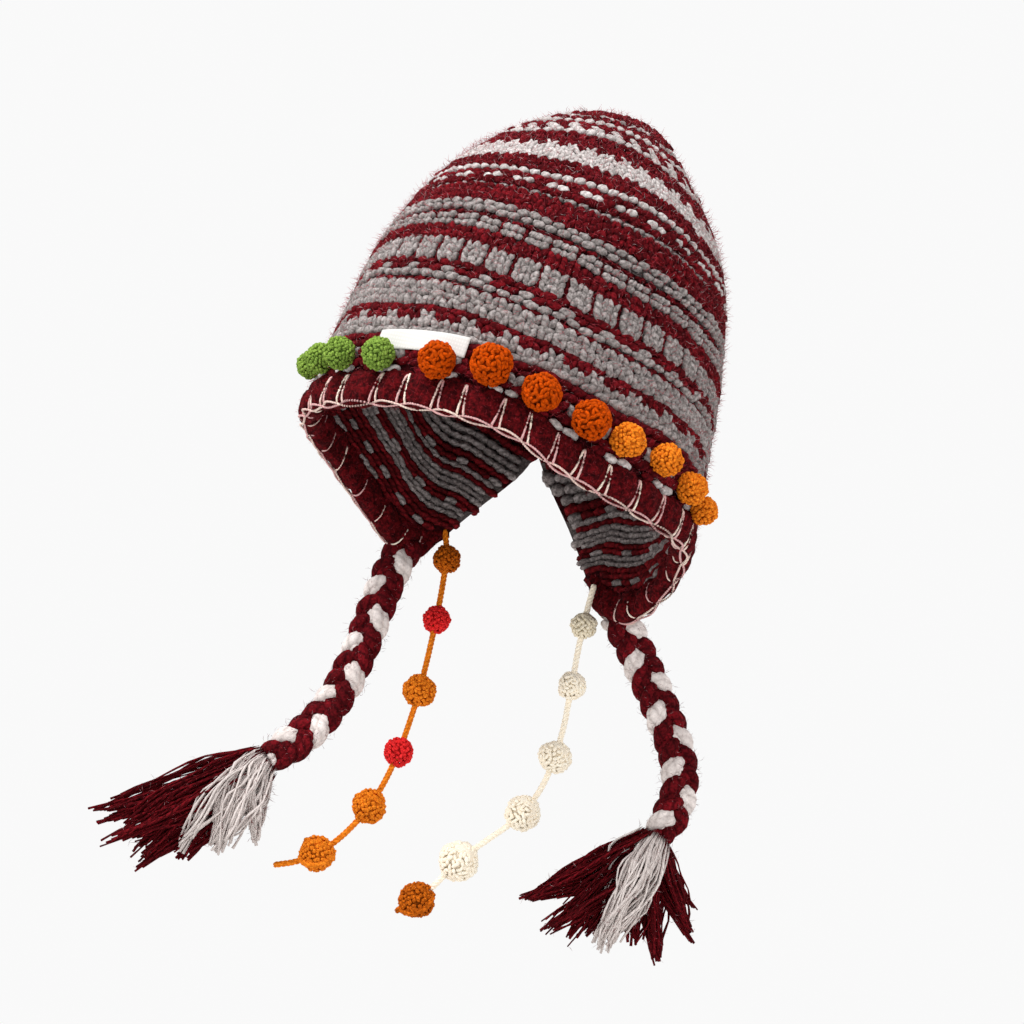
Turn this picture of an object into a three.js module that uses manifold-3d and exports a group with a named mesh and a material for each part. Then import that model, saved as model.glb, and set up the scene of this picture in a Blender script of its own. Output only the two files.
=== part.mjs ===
// An earflap hat in chunky striped wool, upright as a head holds it.
// Millimetres. +Z runs up the crown and -Y is the brow. The origin is the centre of the ring where the
// brow band grips the head. An azimuth is in degrees from the brow, positive towards +X.
import * as THREE from "three";
import { mergeVertices } from "three/addons/utils/BufferGeometryUtils.js";
import Module from "manifold-3d";

const wasm = await Module();
wasm.setup();

// Driving sizes
const KNIT_WALL = 5;
const KNIT_COLUMNS = 48;
const SEAT_GAP = 0.3;
const PROBE = 4;
const HEM_GAP = 0.8;
const BORDER_HEIGHT = 17.5;
const BORDER_PROUD = 3.5;
const BORDER_DEEP = 8;
const BORDER_PITCH = 15;
const BORDER_PINCH = 0.8;
const LABEL_THICK = 0.8;
const BRAID_WIDTH = 16.5;
const BRAID_STEPS = 18;
const STRING_WIDTH = 3.2;
const STRING_STEPS = 30;
const BALL_SIDES = 10;
const BALL_ROWS = 6;
const BORE_TURN = 0.2;
const TUCK_REACH = 95;
const GATHERS = 9;
const GATHER_DEPTH = 0.09;

// The crown's outline: half its width at each height, and how far its middle leans to the wearer's left.
const OUTLINE = [
  { height: -46, radius: 96, lean: 0 },
  { height: 0, radius: 97, lean: 0 },
  { height: 20, radius: 95.3, lean: -1.2 },
  { height: 42, radius: 92.6, lean: -2.7 },
  { height: 66, radius: 89.4, lean: -4 },
  { height: 90, radius: 84.6, lean: -4.9 },
  { height: 118, radius: 75.4, lean: -4.4 },
  { height: 139, radius: 63.6, lean: -4.3 },
  { height: 155, radius: 49.4, lean: -4.4 },
  { height: 167, radius: 36.4, lean: -3.6 },
  { height: 176, radius: 23.6, lean: -1.5 },
  { height: 181.5, radius: 12.8, lean: 1 },
  { height: 185, radius: 0, lean: 4 },
];
const LEAN_AZIMUTH = 107;

// The lower edge of the border: how high it hangs and how far it tucks in, from one side of the nape
// round the brow to the other. The flaps hang at about 140 degrees on each side.
const RIM = [
  { azimuth: -173, height: -34, tuck: 8 },
  { azimuth: -152, height: -36, tuck: 15 },
  { azimuth: -141, height: -40.5, tuck: 16 },
  { azimuth: -131, height: -38.5, tuck: 15 },
  { azimuth: -121, height: -30.5, tuck: 12 },
  { azimuth: -111, height: -22.5, tuck: 8 },
  { azimuth: -100, height: -15, tuck: 4 },
  { azimuth: -84, height: -9.5, tuck: 1 },
  { azimuth: -56, height: -6, tuck: 0 },
  { azimuth: -34, height: -3, tuck: 0 },
  { azimuth: -15, height: 1, tuck: 0 },
  { azimuth: 4, height: 3, tuck: 0 },
  { azimuth: 18, height: 2, tuck: 0 },
  { azimuth: 29, height: -3.5, tuck: 0 },
  { azimuth: 42, height: -6.8, tuck: 0 },
  { azimuth: 62, height: -7.8, tuck: 0 },
  { azimuth: 85, height: -9, tuck: 0 },
  { azimuth: 98, height: -13.5, tuck: 1 },
  { azimuth: 108, height: -21.5, tuck: 2 },
  { azimuth: 118, height: -32, tuck: 4 },
  { azimuth: 130, height: -40.5, tuck: 6 },
  { azimuth: 142, height: -40, tuck: 8 },
  { azimuth: 152, height: -35, tuck: 9 },
  { azimuth: 187, height: -34, tuck: 8 },
];

// The share of the rim's rise and fall that a course of stitches still follows, by its distance
// from the border's lower edge.
const FOLLOW = [
  { along: 0, share: 1 },
  { along: 30, share: 1.08 },
  { along: 70, share: 1.1 },
  { along: 96, share: 0.88 },
  { along: 122, share: 0.55 },
  { along: 150, share: 0.26 },
  { along: 180, share: 0.08 },
  { along: 230, share: 0 },
];

// The two plain sides of the slit at the nape, as azimuths. They meet at its top.
const SLIT = [
  { along: 0, right: -148, left: 148.5 },
  { along: 12, right: -151.5, left: 154 },
  { along: 36, right: -161, left: 168.5 },
  { along: 58, right: -170, left: 181 },
  { along: 70, right: -173, left: 187 },
];
const SLIT_TOP = SLIT[SLIT.length - 1].along;

// Courses of the knit: bands of garter stitch stand proud of the smooth bands between them.
const COURSES = [
  { along: BORDER_HEIGHT + HEM_GAP, proud: 0 },
  { along: 26, proud: 0 },
  { along: 34, proud: 0.8 },
  { along: 41, proud: -0.2 },
  { along: 50, proud: 0.9 },
  { along: 60, proud: 0.3 },
  { along: SLIT_TOP, proud: 0 },
  { along: 81, proud: 0.8 },
  { along: 91, proud: -0.4 },
  { along: 103, proud: 0.7 },
  { along: 113, proud: 0.7 },
  { along: 125, proud: -0.4 },
  { along: 138, proud: 0.5 },
  { along: 150, proud: -0.2 },
  { along: 162, proud: 0.6 },
  { along: 176, proud: -0.2 },
  { along: 190, proud: 0.4 },
  { along: 203, proud: 0 },
  { along: 214, proud: 0 },
  { along: 222, proud: 0 },
];

const LABEL = { from: -30.5, to: -1.5, low: 26.5, high: 36.5 };

// Yarn balls above the border, from the wearer's right temple round the brow to the left temple.
const POMPOMS = [
  { azimuth: -63, along: 22, radius: 6.4, yarn: "moss" },
  { azimuth: -52, along: 21.5, radius: 7, yarn: "moss" },
  { azimuth: -40.5, along: 22, radius: 7.4, yarn: "moss" },
  { azimuth: -25, along: 21, radius: 7.4, yarn: "moss" },
  { azimuth: -7, along: 20.5, radius: 8.4, yarn: "rust" },
  { azimuth: 7, along: 24.4, radius: 9.6, yarn: "rust" },
  { azimuth: 21, along: 22.5, radius: 8.7, yarn: "rust" },
  { azimuth: 35, along: 26, radius: 8.9, yarn: "rust" },
  { azimuth: 46.5, along: 27, radius: 7.8, yarn: "amber" },
  { azimuth: 60.5, along: 28, radius: 7.4, yarn: "amber" },
  { azimuth: 74, along: 23, radius: 7.4, yarn: "amber" },
  { azimuth: 84, along: 19, radius: 6.4, yarn: "amber" },
];

// Routes of the ties and of the ball strings, from the hat down.
const RIGHT_BRAID_ROUTE = [
  [-52.4, 59.9, -41],
  [-53.6, 59.1, -51],
  [-53.9, 58.4, -59.4],
  [-53.9, 57.7, -67.8],
  [-53.9, 57.1, -76.2],
  [-53.8, 56.4, -84.6],
  [-53.8, 55.7, -93],
  [-54.1, 54.8, -101.3],
  [-54.7, 53.8, -109.7],
  [-55.7, 52.5, -118],
  [-57.2, 50.9, -126.1],
  [-59.4, 49, -134],
  [-62.4, 46.7, -141.5],
  [-66.1, 44.1, -148.6],
  [-70.3, 41.3, -155.3],
  [-74.8, 38.4, -161.8],
];
const LEFT_BRAID_ROUTE = [
  [63.4, 69.6, -40.9],
  [67.9, 72, -45.1],
  [72.7, 74.5, -50.3],
  [77.8, 75.9, -55.8],
  [83, 76.3, -61.5],
  [88.2, 76.8, -67.3],
  [93.3, 77.3, -73.1],
  [98.3, 77.7, -78.9],
  [103.2, 78.1, -84.9],
  [107.6, 78.2, -91.2],
  [111.5, 78.3, -97.9],
  [114.4, 78, -105],
  [115.8, 77.4, -112.5],
  [115.6, 76.3, -120.2],
  [114.2, 74.9, -127.6],
  [112.3, 73.2, -134.9],
];
const RIGHT_STRING_ROUTE = [
  [-38.7, 68.3, -21.8],
  [-33.3, 68.8, -33],
  [-30.8, 69.5, -44.5],
  [-28.6, 69.6, -56.2],
  [-26.7, 69.5, -67.8],
  [-25, 69.3, -79.5],
  [-23.5, 69.1, -91.1],
  [-22.2, 68.9, -103],
  [-21.5, 68.4, -114.7],
  [-21.1, 67.9, -126.4],
  [-21.3, 67.1, -138.3],
  [-22.2, 66.2, -149.9],
  [-24.2, 64.9, -161.5],
  [-27.6, 63.2, -172.6],
  [-32.3, 61.1, -183.2],
  [-38.6, 58.5, -192.9],
  [-46.7, 55.4, -200.7],
  [-56.3, 51.8, -206.4],
];
const LEFT_STRING_ROUTE = [
  [44.7, 63.5, -26.3],
  [45.4, 63.7, -37.8],
  [46.6, 64.1, -49.4],
  [47.8, 65.3, -60.7],
  [49.4, 66.7, -71.9],
  [50.9, 68, -83.3],
  [52.4, 69.3, -94.6],
  [53.1, 70.4, -106.1],
  [53, 71.2, -117.5],
  [51.6, 71.6, -128.9],
  [48.2, 71.5, -140],
  [42.9, 70.7, -150.1],
  [36.3, 69.6, -159.5],
  [29.7, 68.4, -168.9],
  [24.1, 67.5, -178.8],
  [19.2, 66.9, -189.3],
  [13.4, 66, -199.1],
  [5.7, 64.5, -207.6],
];

// Knotted balls on each string: their distance down it and their size.
const RIGHT_BALLS = [
  { at: 15.5, radius: 6.9, yarn: "umber" },
  { at: 46, radius: 6.9, yarn: "red" },
  { at: 82.4, radius: 8.1, yarn: "amber" },
  { at: 114.4, radius: 7.3, yarn: "red" },
  { at: 144.6, radius: 8.5, yarn: "amber" },
  { at: 179, radius: 8.7, yarn: "amber" },
];
const LEFT_BALLS = [
  { at: 21.1, radius: 6.4, yarn: "oat" },
  { at: 51, radius: 6.9, yarn: "cream" },
  { at: 86.4, radius: 7.8, yarn: "cream" },
  { at: 117.8, radius: 8.5, yarn: "cream" },
  { at: 156.6, radius: 9.7, yarn: "cream" },
  { at: 184, radius: 8.7, yarn: "umber" },
];

// Tips of the tassels' locks, and how wide each lock is there.
const RIGHT_LOCKS = [
  { tip: [-133, 18, -211], width: 13 },
  { tip: [-125, 14, -221], width: 14 },
  { tip: [-114, 26, -226], width: 15 },
  { tip: [-111, 35, -219], width: 14 },
  { tip: [-94, 23, -220], width: 13 },
  { tip: [-77, 25, -210], width: 14 },
  { tip: [-66, 34, -196], width: 11 },
  { tip: [-100, 41, -207], width: 14 },
];
const LEFT_LOCKS = [
  { tip: [69, 59, -181], width: 13 },
  { tip: [82, 54, -190], width: 14 },
  { tip: [92, 68, -191], width: 15 },
  { tip: [97, 80, -184], width: 14 },
  { tip: [110, 63, -191], width: 13 },
  { tip: [121, 64, -185], width: 13 },
  { tip: [130, 80, -186], width: 14 },
  { tip: [143, 81, -172], width: 14 },
  { tip: [134, 85, -156], width: 12 },
];

const YARNS = {
  maroon: 0x5c0f14,
  border: 0x4a0c12,
  moss: 0x6f9a3c,
  rust: 0xc24a08,
  amber: 0xe07a1c,
  umber: 0xa85a1a,
  red: 0xc8202c,
  oat: 0xcfc0a4,
  cream: 0xefe4cf,
  label: 0xf2f0ec,
};

const root = new THREE.Group();

function addMesh(name, geometry, colour, roughness = 0.95) {
  const material = new THREE.MeshStandardMaterial({ color: colour, roughness, metalness: 0 });
  const mesh = new THREE.Mesh(geometry, material);
  mesh.name = name;
  root.add(mesh);
}

// A smooth value between the rows of a table, by a cubic through each row and its neighbours' slope.
function eased(table, key, column, x) {
  const last = table.length - 1;
  if (x <= table[0][key]) return table[0][column];
  if (x >= table[last][key]) return table[last][column];
  const i = table.findIndex((row) => row[key] > x) - 1;
  const slope = (k) => {
    const a = table[Math.max(k - 1, 0)];
    const b = table[Math.min(k + 1, last)];
    return (b[column] - a[column]) / (b[key] - a[key]);
  };
  const run = table[i + 1][key] - table[i][key];
  const t = (x - table[i][key]) / run;
  const t2 = t * t;
  const t3 = t2 * t;
  return (
    table[i][column] * (2 * t3 - 3 * t2 + 1) +
    table[i + 1][column] * (3 * t2 - 2 * t3) +
    run * (slope(i) * (t3 - 2 * t2 + t) + slope(i + 1) * (t3 - t2))
  );
}

// The outline again, with the distance along it from the row at height 0.
function measured(outline) {
  const rows = outline.map((row) => ({ ...row, along: 0 }));
  const start = rows.findIndex((row) => row.height === 0);
  const step = (a, b) => Math.hypot(b.height - a.height, b.radius - a.radius);
  for (let i = start + 1; i < rows.length; i++) rows[i].along = rows[i - 1].along + step(rows[i - 1], rows[i]);
  for (let i = start - 1; i >= 0; i--) rows[i].along = rows[i + 1].along - step(rows[i], rows[i + 1]);
  return rows;
}
const PROFILE = measured(OUTLINE);
const PROFILE_TOP = PROFILE[PROFILE.length - 1].along;

// A place on the hat: round it by azimuth, up it by the distance from the border's lower edge, and in
// from its outer face by depth.
function onHat(azimuth, along, depth) {
  const s = along + eased(RIM, "azimuth", "height", azimuth) * eased(FOLLOW, "along", "share", along);
  const half = 1;
  const rise = eased(PROFILE, "along", "height", s + half) - eased(PROFILE, "along", "height", s - half);
  const run = eased(PROFILE, "along", "radius", s + half) - eased(PROFILE, "along", "radius", s - half);
  const norm = Math.hypot(rise, run) || 1;
  const tuckShare = Math.max(0, 1 - along / TUCK_REACH);
  const tuck = eased(RIM, "azimuth", "tuck", azimuth) * tuckShare * (2 - tuckShare);
  const turn = THREE.MathUtils.degToRad(azimuth);
  const nearTop = THREE.MathUtils.smoothstep(s, PROFILE_TOP - 50, PROFILE_TOP - 12);
  const gather = 1 + GATHER_DEPTH * nearTop * Math.cos(GATHERS * turn);
  const radius = Math.max(0, (eased(PROFILE, "along", "radius", s) - tuck) * gather - (depth * rise) / norm);
  const height = eased(PROFILE, "along", "height", s) + (depth * run) / norm;
  const lean = eased(PROFILE, "along", "lean", s);
  const side = THREE.MathUtils.degToRad(LEAN_AZIMUTH);
  return [
    radius * Math.sin(turn) + lean * Math.sin(side),
    -radius * Math.cos(turn) - lean * Math.cos(side),
    height,
  ];
}

function slitAzimuth(side, along) {
  return eased(SLIT, "along", side, Math.min(along, SLIT_TOP));
}

function geometryOf(points, triangles) {
  const geometry = new THREE.BufferGeometry();
  geometry.setAttribute("position", new THREE.BufferAttribute(new Float32Array(points.flat()), 3));
  geometry.setIndex(triangles.flat());
  return geometry;
}

// The knit wall: an outer and an inner sheet, closed along the hem and along both sides of the slit.
function knitCrown() {
  const points = [];
  const triangles = [];
  const add = (point) => points.push(point) - 1;
  const quad = (a, b, c, d) => triangles.push([a, b, c], [a, c, d]);
  const sheet = (inner) =>
    COURSES.map(({ along, proud }) => {
      const right = slitAzimuth("right", along);
      const left = slitAzimuth("left", along);
      const depth = inner ? KNIT_WALL : -proud;
      const open = along < SLIT_TOP;
      const ring = [];
      for (let i = 0; i < KNIT_COLUMNS + (open ? 1 : 0); i++)
        ring.push(add(onHat(right + ((left - right) * i) / KNIT_COLUMNS, along, depth)));
      if (!open) ring.push(ring[0]);
      return ring;
    });
  const outer = sheet(false);
  const inner = sheet(true);
  for (let j = 0; j + 1 < COURSES.length; j++)
    for (let i = 0; i < KNIT_COLUMNS; i++) {
      quad(outer[j][i], outer[j][i + 1], outer[j + 1][i + 1], outer[j + 1][i]);
      quad(inner[j][i], inner[j + 1][i], inner[j + 1][i + 1], inner[j][i + 1]);
    }
  const end = COURSES.length - 1;
  const outerTop = add(onHat(0, PROFILE_TOP, 0));
  const innerTop = add(onHat(0, PROFILE_TOP, KNIT_WALL));
  for (let i = 0; i < KNIT_COLUMNS; i++) {
    triangles.push([outer[end][i], outer[end][i + 1], outerTop], [inner[end][i + 1], inner[end][i], innerTop]);
    quad(outer[0][i + 1], outer[0][i], inner[0][i], inner[0][i + 1]);
  }
  for (let j = 0; COURSES[j].along < SLIT_TOP; j++) {
    quad(outer[j][0], outer[j + 1][0], inner[j + 1][0], inner[j][0]);
    quad(outer[j][KNIT_COLUMNS], inner[j][KNIT_COLUMNS], inner[j + 1][KNIT_COLUMNS], outer[j + 1][KNIT_COLUMNS]);
  }
  return geometryOf(points, triangles);
}

// A closed body through rings of points that all run the same way round, capped at both ends.
function loft(rings) {
  const around = rings[0].length;
  const triangles = [];
  for (let j = 0; j + 1 < rings.length; j++)
    for (let i = 0; i < around; i++) {
      const [a, b] = [j * around + i, j * around + ((i + 1) % around)];
      triangles.push([a, b, b + around], [a, b + around, a + around]);
    }
  const lastRing = (rings.length - 1) * around;
  for (let i = 1; i + 1 < around; i++) {
    triangles.push([0, i + 1, i], [lastRing, lastRing + i, lastRing + i + 1]);
  }
  return geometryOf(rings.flat(), triangles);
}

// The border: a padded band that draws in where each blanket stitch crosses it.
function borderBand() {
  const right = slitAzimuth("right", 0);
  const left = slitAzimuth("left", 0);
  const edge = [];
  const samples = 200;
  for (let i = 0; i <= samples; i++) edge.push(onHat(right + ((left - right) * i) / samples, 0, 0));
  const length = edge.slice(1).reduce((sum, p, i) => sum + Math.hypot(...p.map((v, k) => v - edge[i][k])), 0);
  const stations = 2 * Math.round(length / BORDER_PITCH);
  const section = [
    [0.55, 0], [0.95, 0.2], [1, 0.5], [0.95, 0.8], [0.55, 1], [0.12, 0.95], [0, 0.5], [0.12, 0.05],
  ];
  const rings = [];
  for (let i = 0; i <= stations; i++) {
    const azimuth = right + ((left - right) * i) / stations;
    const pinch = i % 2 === 0 ? BORDER_PINCH : 1;
    const middle = (BORDER_DEEP - BORDER_PROUD) / 2;
    const half = ((BORDER_DEEP + BORDER_PROUD) / 2) * pinch;
    rings.push(
      section.map(([up, across]) => onHat(azimuth, up * BORDER_HEIGHT, middle + half * (1 - 2 * across))),
    );
  }
  return loft(rings);
}

// The label: a thin tab sewn flat against the knit.
function labelTab() {
  const steps = 8;
  const rings = [];
  for (let i = 0; i <= steps; i++) {
    const azimuth = LABEL.from + ((LABEL.to - LABEL.from) * i) / steps;
    const corners = [[LABEL.low, 0], [LABEL.high, 0], [LABEL.high, LABEL_THICK], [LABEL.low, LABEL_THICK]];
    rings.push(corners.map(([along, out]) => onHat(azimuth, along, -(1.1 + SEAT_GAP + out))));
  }
  return loft(rings);
}

// A knotted yarn ball: knobs stand out all over it in rows.
function knobbed(geometry, radius, knob) {
  const position = geometry.attributes.position;
  for (let i = 0; i < position.count; i++) {
    const p = new THREE.Vector3().fromBufferAttribute(position, i);
    const dir = p.clone().normalize();
    const ripple = Math.sin(7 * dir.x + 1) * Math.sin(6 * dir.y + 2) * Math.sin(7 * dir.z);
    p.addScaledVector(dir, -knob * radius * (0.5 + 0.5 * ripple));
    position.setXYZ(i, p.x, p.y, p.z);
  }
  return geometry;
}

// A pompom, slid in towards the crown until it rests on what is behind it.
function pompom({ azimuth, along, radius }, ground) {
  const ball = knobbed(new THREE.IcosahedronGeometry(radius, 1), radius, 0.08);
  ball.translate(...onHat(azimuth, along, -(radius + PROBE)));
  const turn = THREE.MathUtils.degToRad(azimuth);
  for (let i = 0; i < 4; i++) {
    const ballSolid = solidOf(ball);
    const clear = Math.min(...ground.map((solid) => ballSolid.minGap(solid, 2 * PROBE)));
    const step = clear - SEAT_GAP;
    ball.translate(-step * Math.sin(turn), step * Math.cos(turn), 0);
  }
  return ball;
}

function curveOf(route) {
  return new THREE.CatmullRomCurve3(route.map((point) => new THREE.Vector3(...point)), false, "centripetal");
}

function tube(route, width, sides, steps) {
  const shape = new THREE.Shape();
  for (let i = 0; i < sides; i++) {
    const turn = (2 * Math.PI * i) / sides;
    const [x, y] = [(width / 2) * Math.cos(turn), (width / 2) * Math.sin(turn)];
    if (i === 0) shape.moveTo(x, y);
    else shape.lineTo(x, y);
  }
  shape.closePath();
  return new THREE.ExtrudeGeometry(shape, { steps, extrudePath: curveOf(route), bevelEnabled: false });
}

// A ball on a string, with the cord's bore cut through it along the cord's own bend.
function threadedBall(route, { at, radius }) {
  const curve = curveOf(route);
  const share = at / curve.getLength();
  const ball = knobbed(new THREE.SphereGeometry(radius, BALL_SIDES, BALL_ROWS), radius, 0.06);
  const up = new THREE.Vector3(0, 1, 0);
  const turned = new THREE.Quaternion().setFromUnitVectors(up, curve.getTangentAt(share));
  ball.applyQuaternion(turned.multiply(new THREE.Quaternion().setFromAxisAngle(up, BORE_TURN)));
  ball.translate(...curve.getPointAt(share).toArray());
  const spread = (1.3 * radius) / curve.getLength();
  const bore = [-1, -0.5, 0, 0.5, 1].map((k) => {
    const where = share + k * spread;
    const inside = THREE.MathUtils.clamp(where, 0, 1);
    const past = (where - inside) * curve.getLength();
    return curve.getPointAt(inside).addScaledVector(curve.getTangentAt(inside), past).toArray();
  });
  const sides = 6;
  const width = (STRING_WIDTH + 2 * SEAT_GAP) / Math.cos(Math.PI / sides);
  return meshOf(solidOf(ball).subtract(solidOf(tube(bore, width, sides, bore.length - 1))));
}

function solidOf(geometry) {
  const bare = new THREE.BufferGeometry();
  const flat = geometry.index ? geometry.toNonIndexed() : geometry;
  bare.setAttribute("position", flat.getAttribute("position"));
  const merged = mergeVertices(bare, 1e-3);
  return new wasm.Manifold(
    new wasm.Mesh({
      numProp: 3,
      vertProperties: merged.attributes.position.array,
      triVerts: new Uint32Array(merged.index.array),
    }),
  );
}

function meshOf(solid) {
  const { vertProperties, triVerts } = solid.getMesh();
  const geometry = new THREE.BufferGeometry();
  geometry.setAttribute("position", new THREE.BufferAttribute(new Float32Array(vertProperties), 3));
  geometry.setIndex(new THREE.BufferAttribute(new Uint32Array(triVerts), 1));
  return geometry;
}

// One lock of a tassel: it leaves the neck in line with the braid, swells, and ends blunt at its tip.
function lock(neck, heading, { tip, width }) {
  const end = new THREE.Vector3(...tip);
  const reach = neck.distanceTo(end);
  const bend = neck.clone().addScaledVector(heading, reach * 0.4);
  const curve = new THREE.QuadraticBezierCurve3(neck, bend, end);
  const swelling = [0.26, 0.42, 0.5, 0.36];
  const sides = 5;
  const frames = curve.computeFrenetFrames(swelling.length - 1, false);
  const rings = swelling.map((share, i) => {
    const centre = curve.getPointAt(i / (swelling.length - 1));
    const ring = [];
    for (let k = 0; k < sides; k++) {
      const turn = (2 * Math.PI * k) / sides;
      const across = frames.normals[i].clone().multiplyScalar(Math.cos(turn) * share * width);
      const deep = frames.binormals[i].clone().multiplyScalar(Math.sin(turn) * share * width);
      ring.push(centre.clone().add(across).add(deep).toArray());
    }
    return ring;
  });
  return solidOf(loft(rings));
}

// A tassel: its locks, fused where they leave the end of the braid.
function tassel(route, locks) {
  const curve = curveOf(route);
  const heading = curve.getTangentAt(1);
  const neck = curve.getPointAt(1).addScaledVector(heading, SEAT_GAP);
  return meshOf(locks.map((row) => lock(neck, heading, row)).reduce((sum, next) => sum.add(next)));
}

const crown = knitCrown();
const border = borderBand();
const label = labelTab();
addMesh("knit_crown", crown, YARNS.maroon);
addMesh("border_band", border, YARNS.border);
addMesh("label_tab", label, YARNS.label, 0.8);
const ground = [crown, border, label].map(solidOf);
POMPOMS.forEach((row, i) => {
  addMesh(`pompom_${String(i + 1).padStart(2, "0")}`, pompom(row, ground), YARNS[row.yarn]);
});
const SIDES = [
  { side: "right", braid: RIGHT_BRAID_ROUTE, locks: RIGHT_LOCKS, string: RIGHT_STRING_ROUTE, balls: RIGHT_BALLS },
  { side: "left", braid: LEFT_BRAID_ROUTE, locks: LEFT_LOCKS, string: LEFT_STRING_ROUTE, balls: LEFT_BALLS },
];
for (const { side, braid, locks, string, balls } of SIDES) {
  addMesh(`${side}_braid`, tube(braid, BRAID_WIDTH, 10, BRAID_STEPS), YARNS.maroon);
  addMesh(`${side}_tassel`, tassel(braid, locks), YARNS.maroon);
  addMesh(`${side}_string`, tube(string, STRING_WIDTH, 8, STRING_STEPS), side === "right" ? YARNS.amber : YARNS.cream);
  balls.forEach((row, i) => {
    addMesh(`${side}_ball_${i + 1}`, threadedBall(string, row), YARNS[row.yarn]);
  });
}

export default root;
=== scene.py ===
# %% [markdown]
# # A striped wool earflap hat
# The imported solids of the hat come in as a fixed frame: they say where every piece sits and how big it
# is. Each piece of yarn is then laid over its solid. Everything is in metres, upright, with the brow
# towards -Y, and the origin is the centre of the ring where the brow grips a head.

import math
import random

import bpy
from mathutils import Matrix, Vector, noise


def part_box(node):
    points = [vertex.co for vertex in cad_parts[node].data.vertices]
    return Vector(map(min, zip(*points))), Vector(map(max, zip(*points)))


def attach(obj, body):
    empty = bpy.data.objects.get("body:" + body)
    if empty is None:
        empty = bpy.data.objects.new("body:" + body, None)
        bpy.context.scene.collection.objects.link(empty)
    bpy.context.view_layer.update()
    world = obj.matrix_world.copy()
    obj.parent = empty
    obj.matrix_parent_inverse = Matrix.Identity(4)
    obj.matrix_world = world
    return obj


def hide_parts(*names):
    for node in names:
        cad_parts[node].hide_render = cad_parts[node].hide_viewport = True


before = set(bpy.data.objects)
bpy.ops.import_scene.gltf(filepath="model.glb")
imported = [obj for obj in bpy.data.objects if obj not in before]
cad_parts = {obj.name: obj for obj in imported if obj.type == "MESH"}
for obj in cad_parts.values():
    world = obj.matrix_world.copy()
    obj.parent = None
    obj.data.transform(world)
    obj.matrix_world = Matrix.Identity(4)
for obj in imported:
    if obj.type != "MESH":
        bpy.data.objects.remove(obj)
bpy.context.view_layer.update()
MM = 0.001
print("nodes:", len(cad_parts))

# %% [markdown]
# The photograph was taken from a little below, with the hat rolled clockwise. The hat stays upright
# here, so the camera is rolled the other way. A long lens from 1.6 m gives the same mild perspective.

# %% Camera
VIEW_AZIMUTH = math.radians(17)
VIEW_ELEVATION = math.radians(-9)
VIEW_DISTANCE = 1.6
PICTURE_ROLL = math.radians(20)
AIM = Vector((10.35, 5.49, -14.03)) * MM
LENS_LENGTH = 118.7
SENSOR_WIDTH = 36

away = Vector(
    (
        math.sin(VIEW_AZIMUTH) * math.cos(VIEW_ELEVATION),
        -math.cos(VIEW_AZIMUTH) * math.cos(VIEW_ELEVATION),
        math.sin(VIEW_ELEVATION),
    )
)
level_right = Vector((math.cos(VIEW_AZIMUTH), math.sin(VIEW_AZIMUTH), 0))
level_up = away.cross(level_right)
right = level_right * math.cos(PICTURE_ROLL) + level_up * math.sin(PICTURE_ROLL)
up = level_up * math.cos(PICTURE_ROLL) - level_right * math.sin(PICTURE_ROLL)

camera_data = bpy.data.cameras.new("camera")
camera_data.lens = LENS_LENGTH
camera_data.sensor_width = SENSOR_WIDTH
camera = bpy.data.objects.new("camera", camera_data)
camera.matrix_world = Matrix(
    (
        (right.x, up.x, away.x, AIM.x + VIEW_DISTANCE * away.x),
        (right.y, up.y, away.y, AIM.y + VIEW_DISTANCE * away.y),
        (right.z, up.z, away.z, AIM.z + VIEW_DISTANCE * away.z),
        (0, 0, 0, 1),
    )
)
bpy.context.scene.collection.objects.link(camera)
bpy.context.scene.camera = camera
print("camera at", [round(v, 3) for v in camera.matrix_world.translation])

# %% [markdown]
# ## Routes of the hanging pieces
# Two braided ties hang from the flaps, and beside each one a thin twisted string of yarn balls. The
# routes are the solids' own, point by point in millimetres, so that the yarn lies where the collision
# shapes are. A simulation could let them swing, but a listed route hangs where the solids do.

# %% Routes
RIGHT_BRAID_ROUTE = [
    (-52.4, 59.9, -41),
    (-53.6, 59.1, -51),
    (-53.9, 58.4, -59.4),
    (-53.9, 57.7, -67.8),
    (-53.9, 57.1, -76.2),
    (-53.8, 56.4, -84.6),
    (-53.8, 55.7, -93),
    (-54.1, 54.8, -101.3),
    (-54.7, 53.8, -109.7),
    (-55.7, 52.5, -118),
    (-57.2, 50.9, -126.1),
    (-59.4, 49, -134),
    (-62.4, 46.7, -141.5),
    (-66.1, 44.1, -148.6),
    (-70.3, 41.3, -155.3),
    (-74.8, 38.4, -161.8),
]
LEFT_BRAID_ROUTE = [
    (63.4, 69.6, -40.9),
    (67.9, 72, -45.1),
    (72.7, 74.5, -50.3),
    (77.8, 75.9, -55.8),
    (83, 76.3, -61.5),
    (88.2, 76.8, -67.3),
    (93.3, 77.3, -73.1),
    (98.3, 77.7, -78.9),
    (103.2, 78.1, -84.9),
    (107.6, 78.2, -91.2),
    (111.5, 78.3, -97.9),
    (114.4, 78, -105),
    (115.8, 77.4, -112.5),
    (115.6, 76.3, -120.2),
    (114.2, 74.9, -127.6),
    (112.3, 73.2, -134.9),
]
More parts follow.
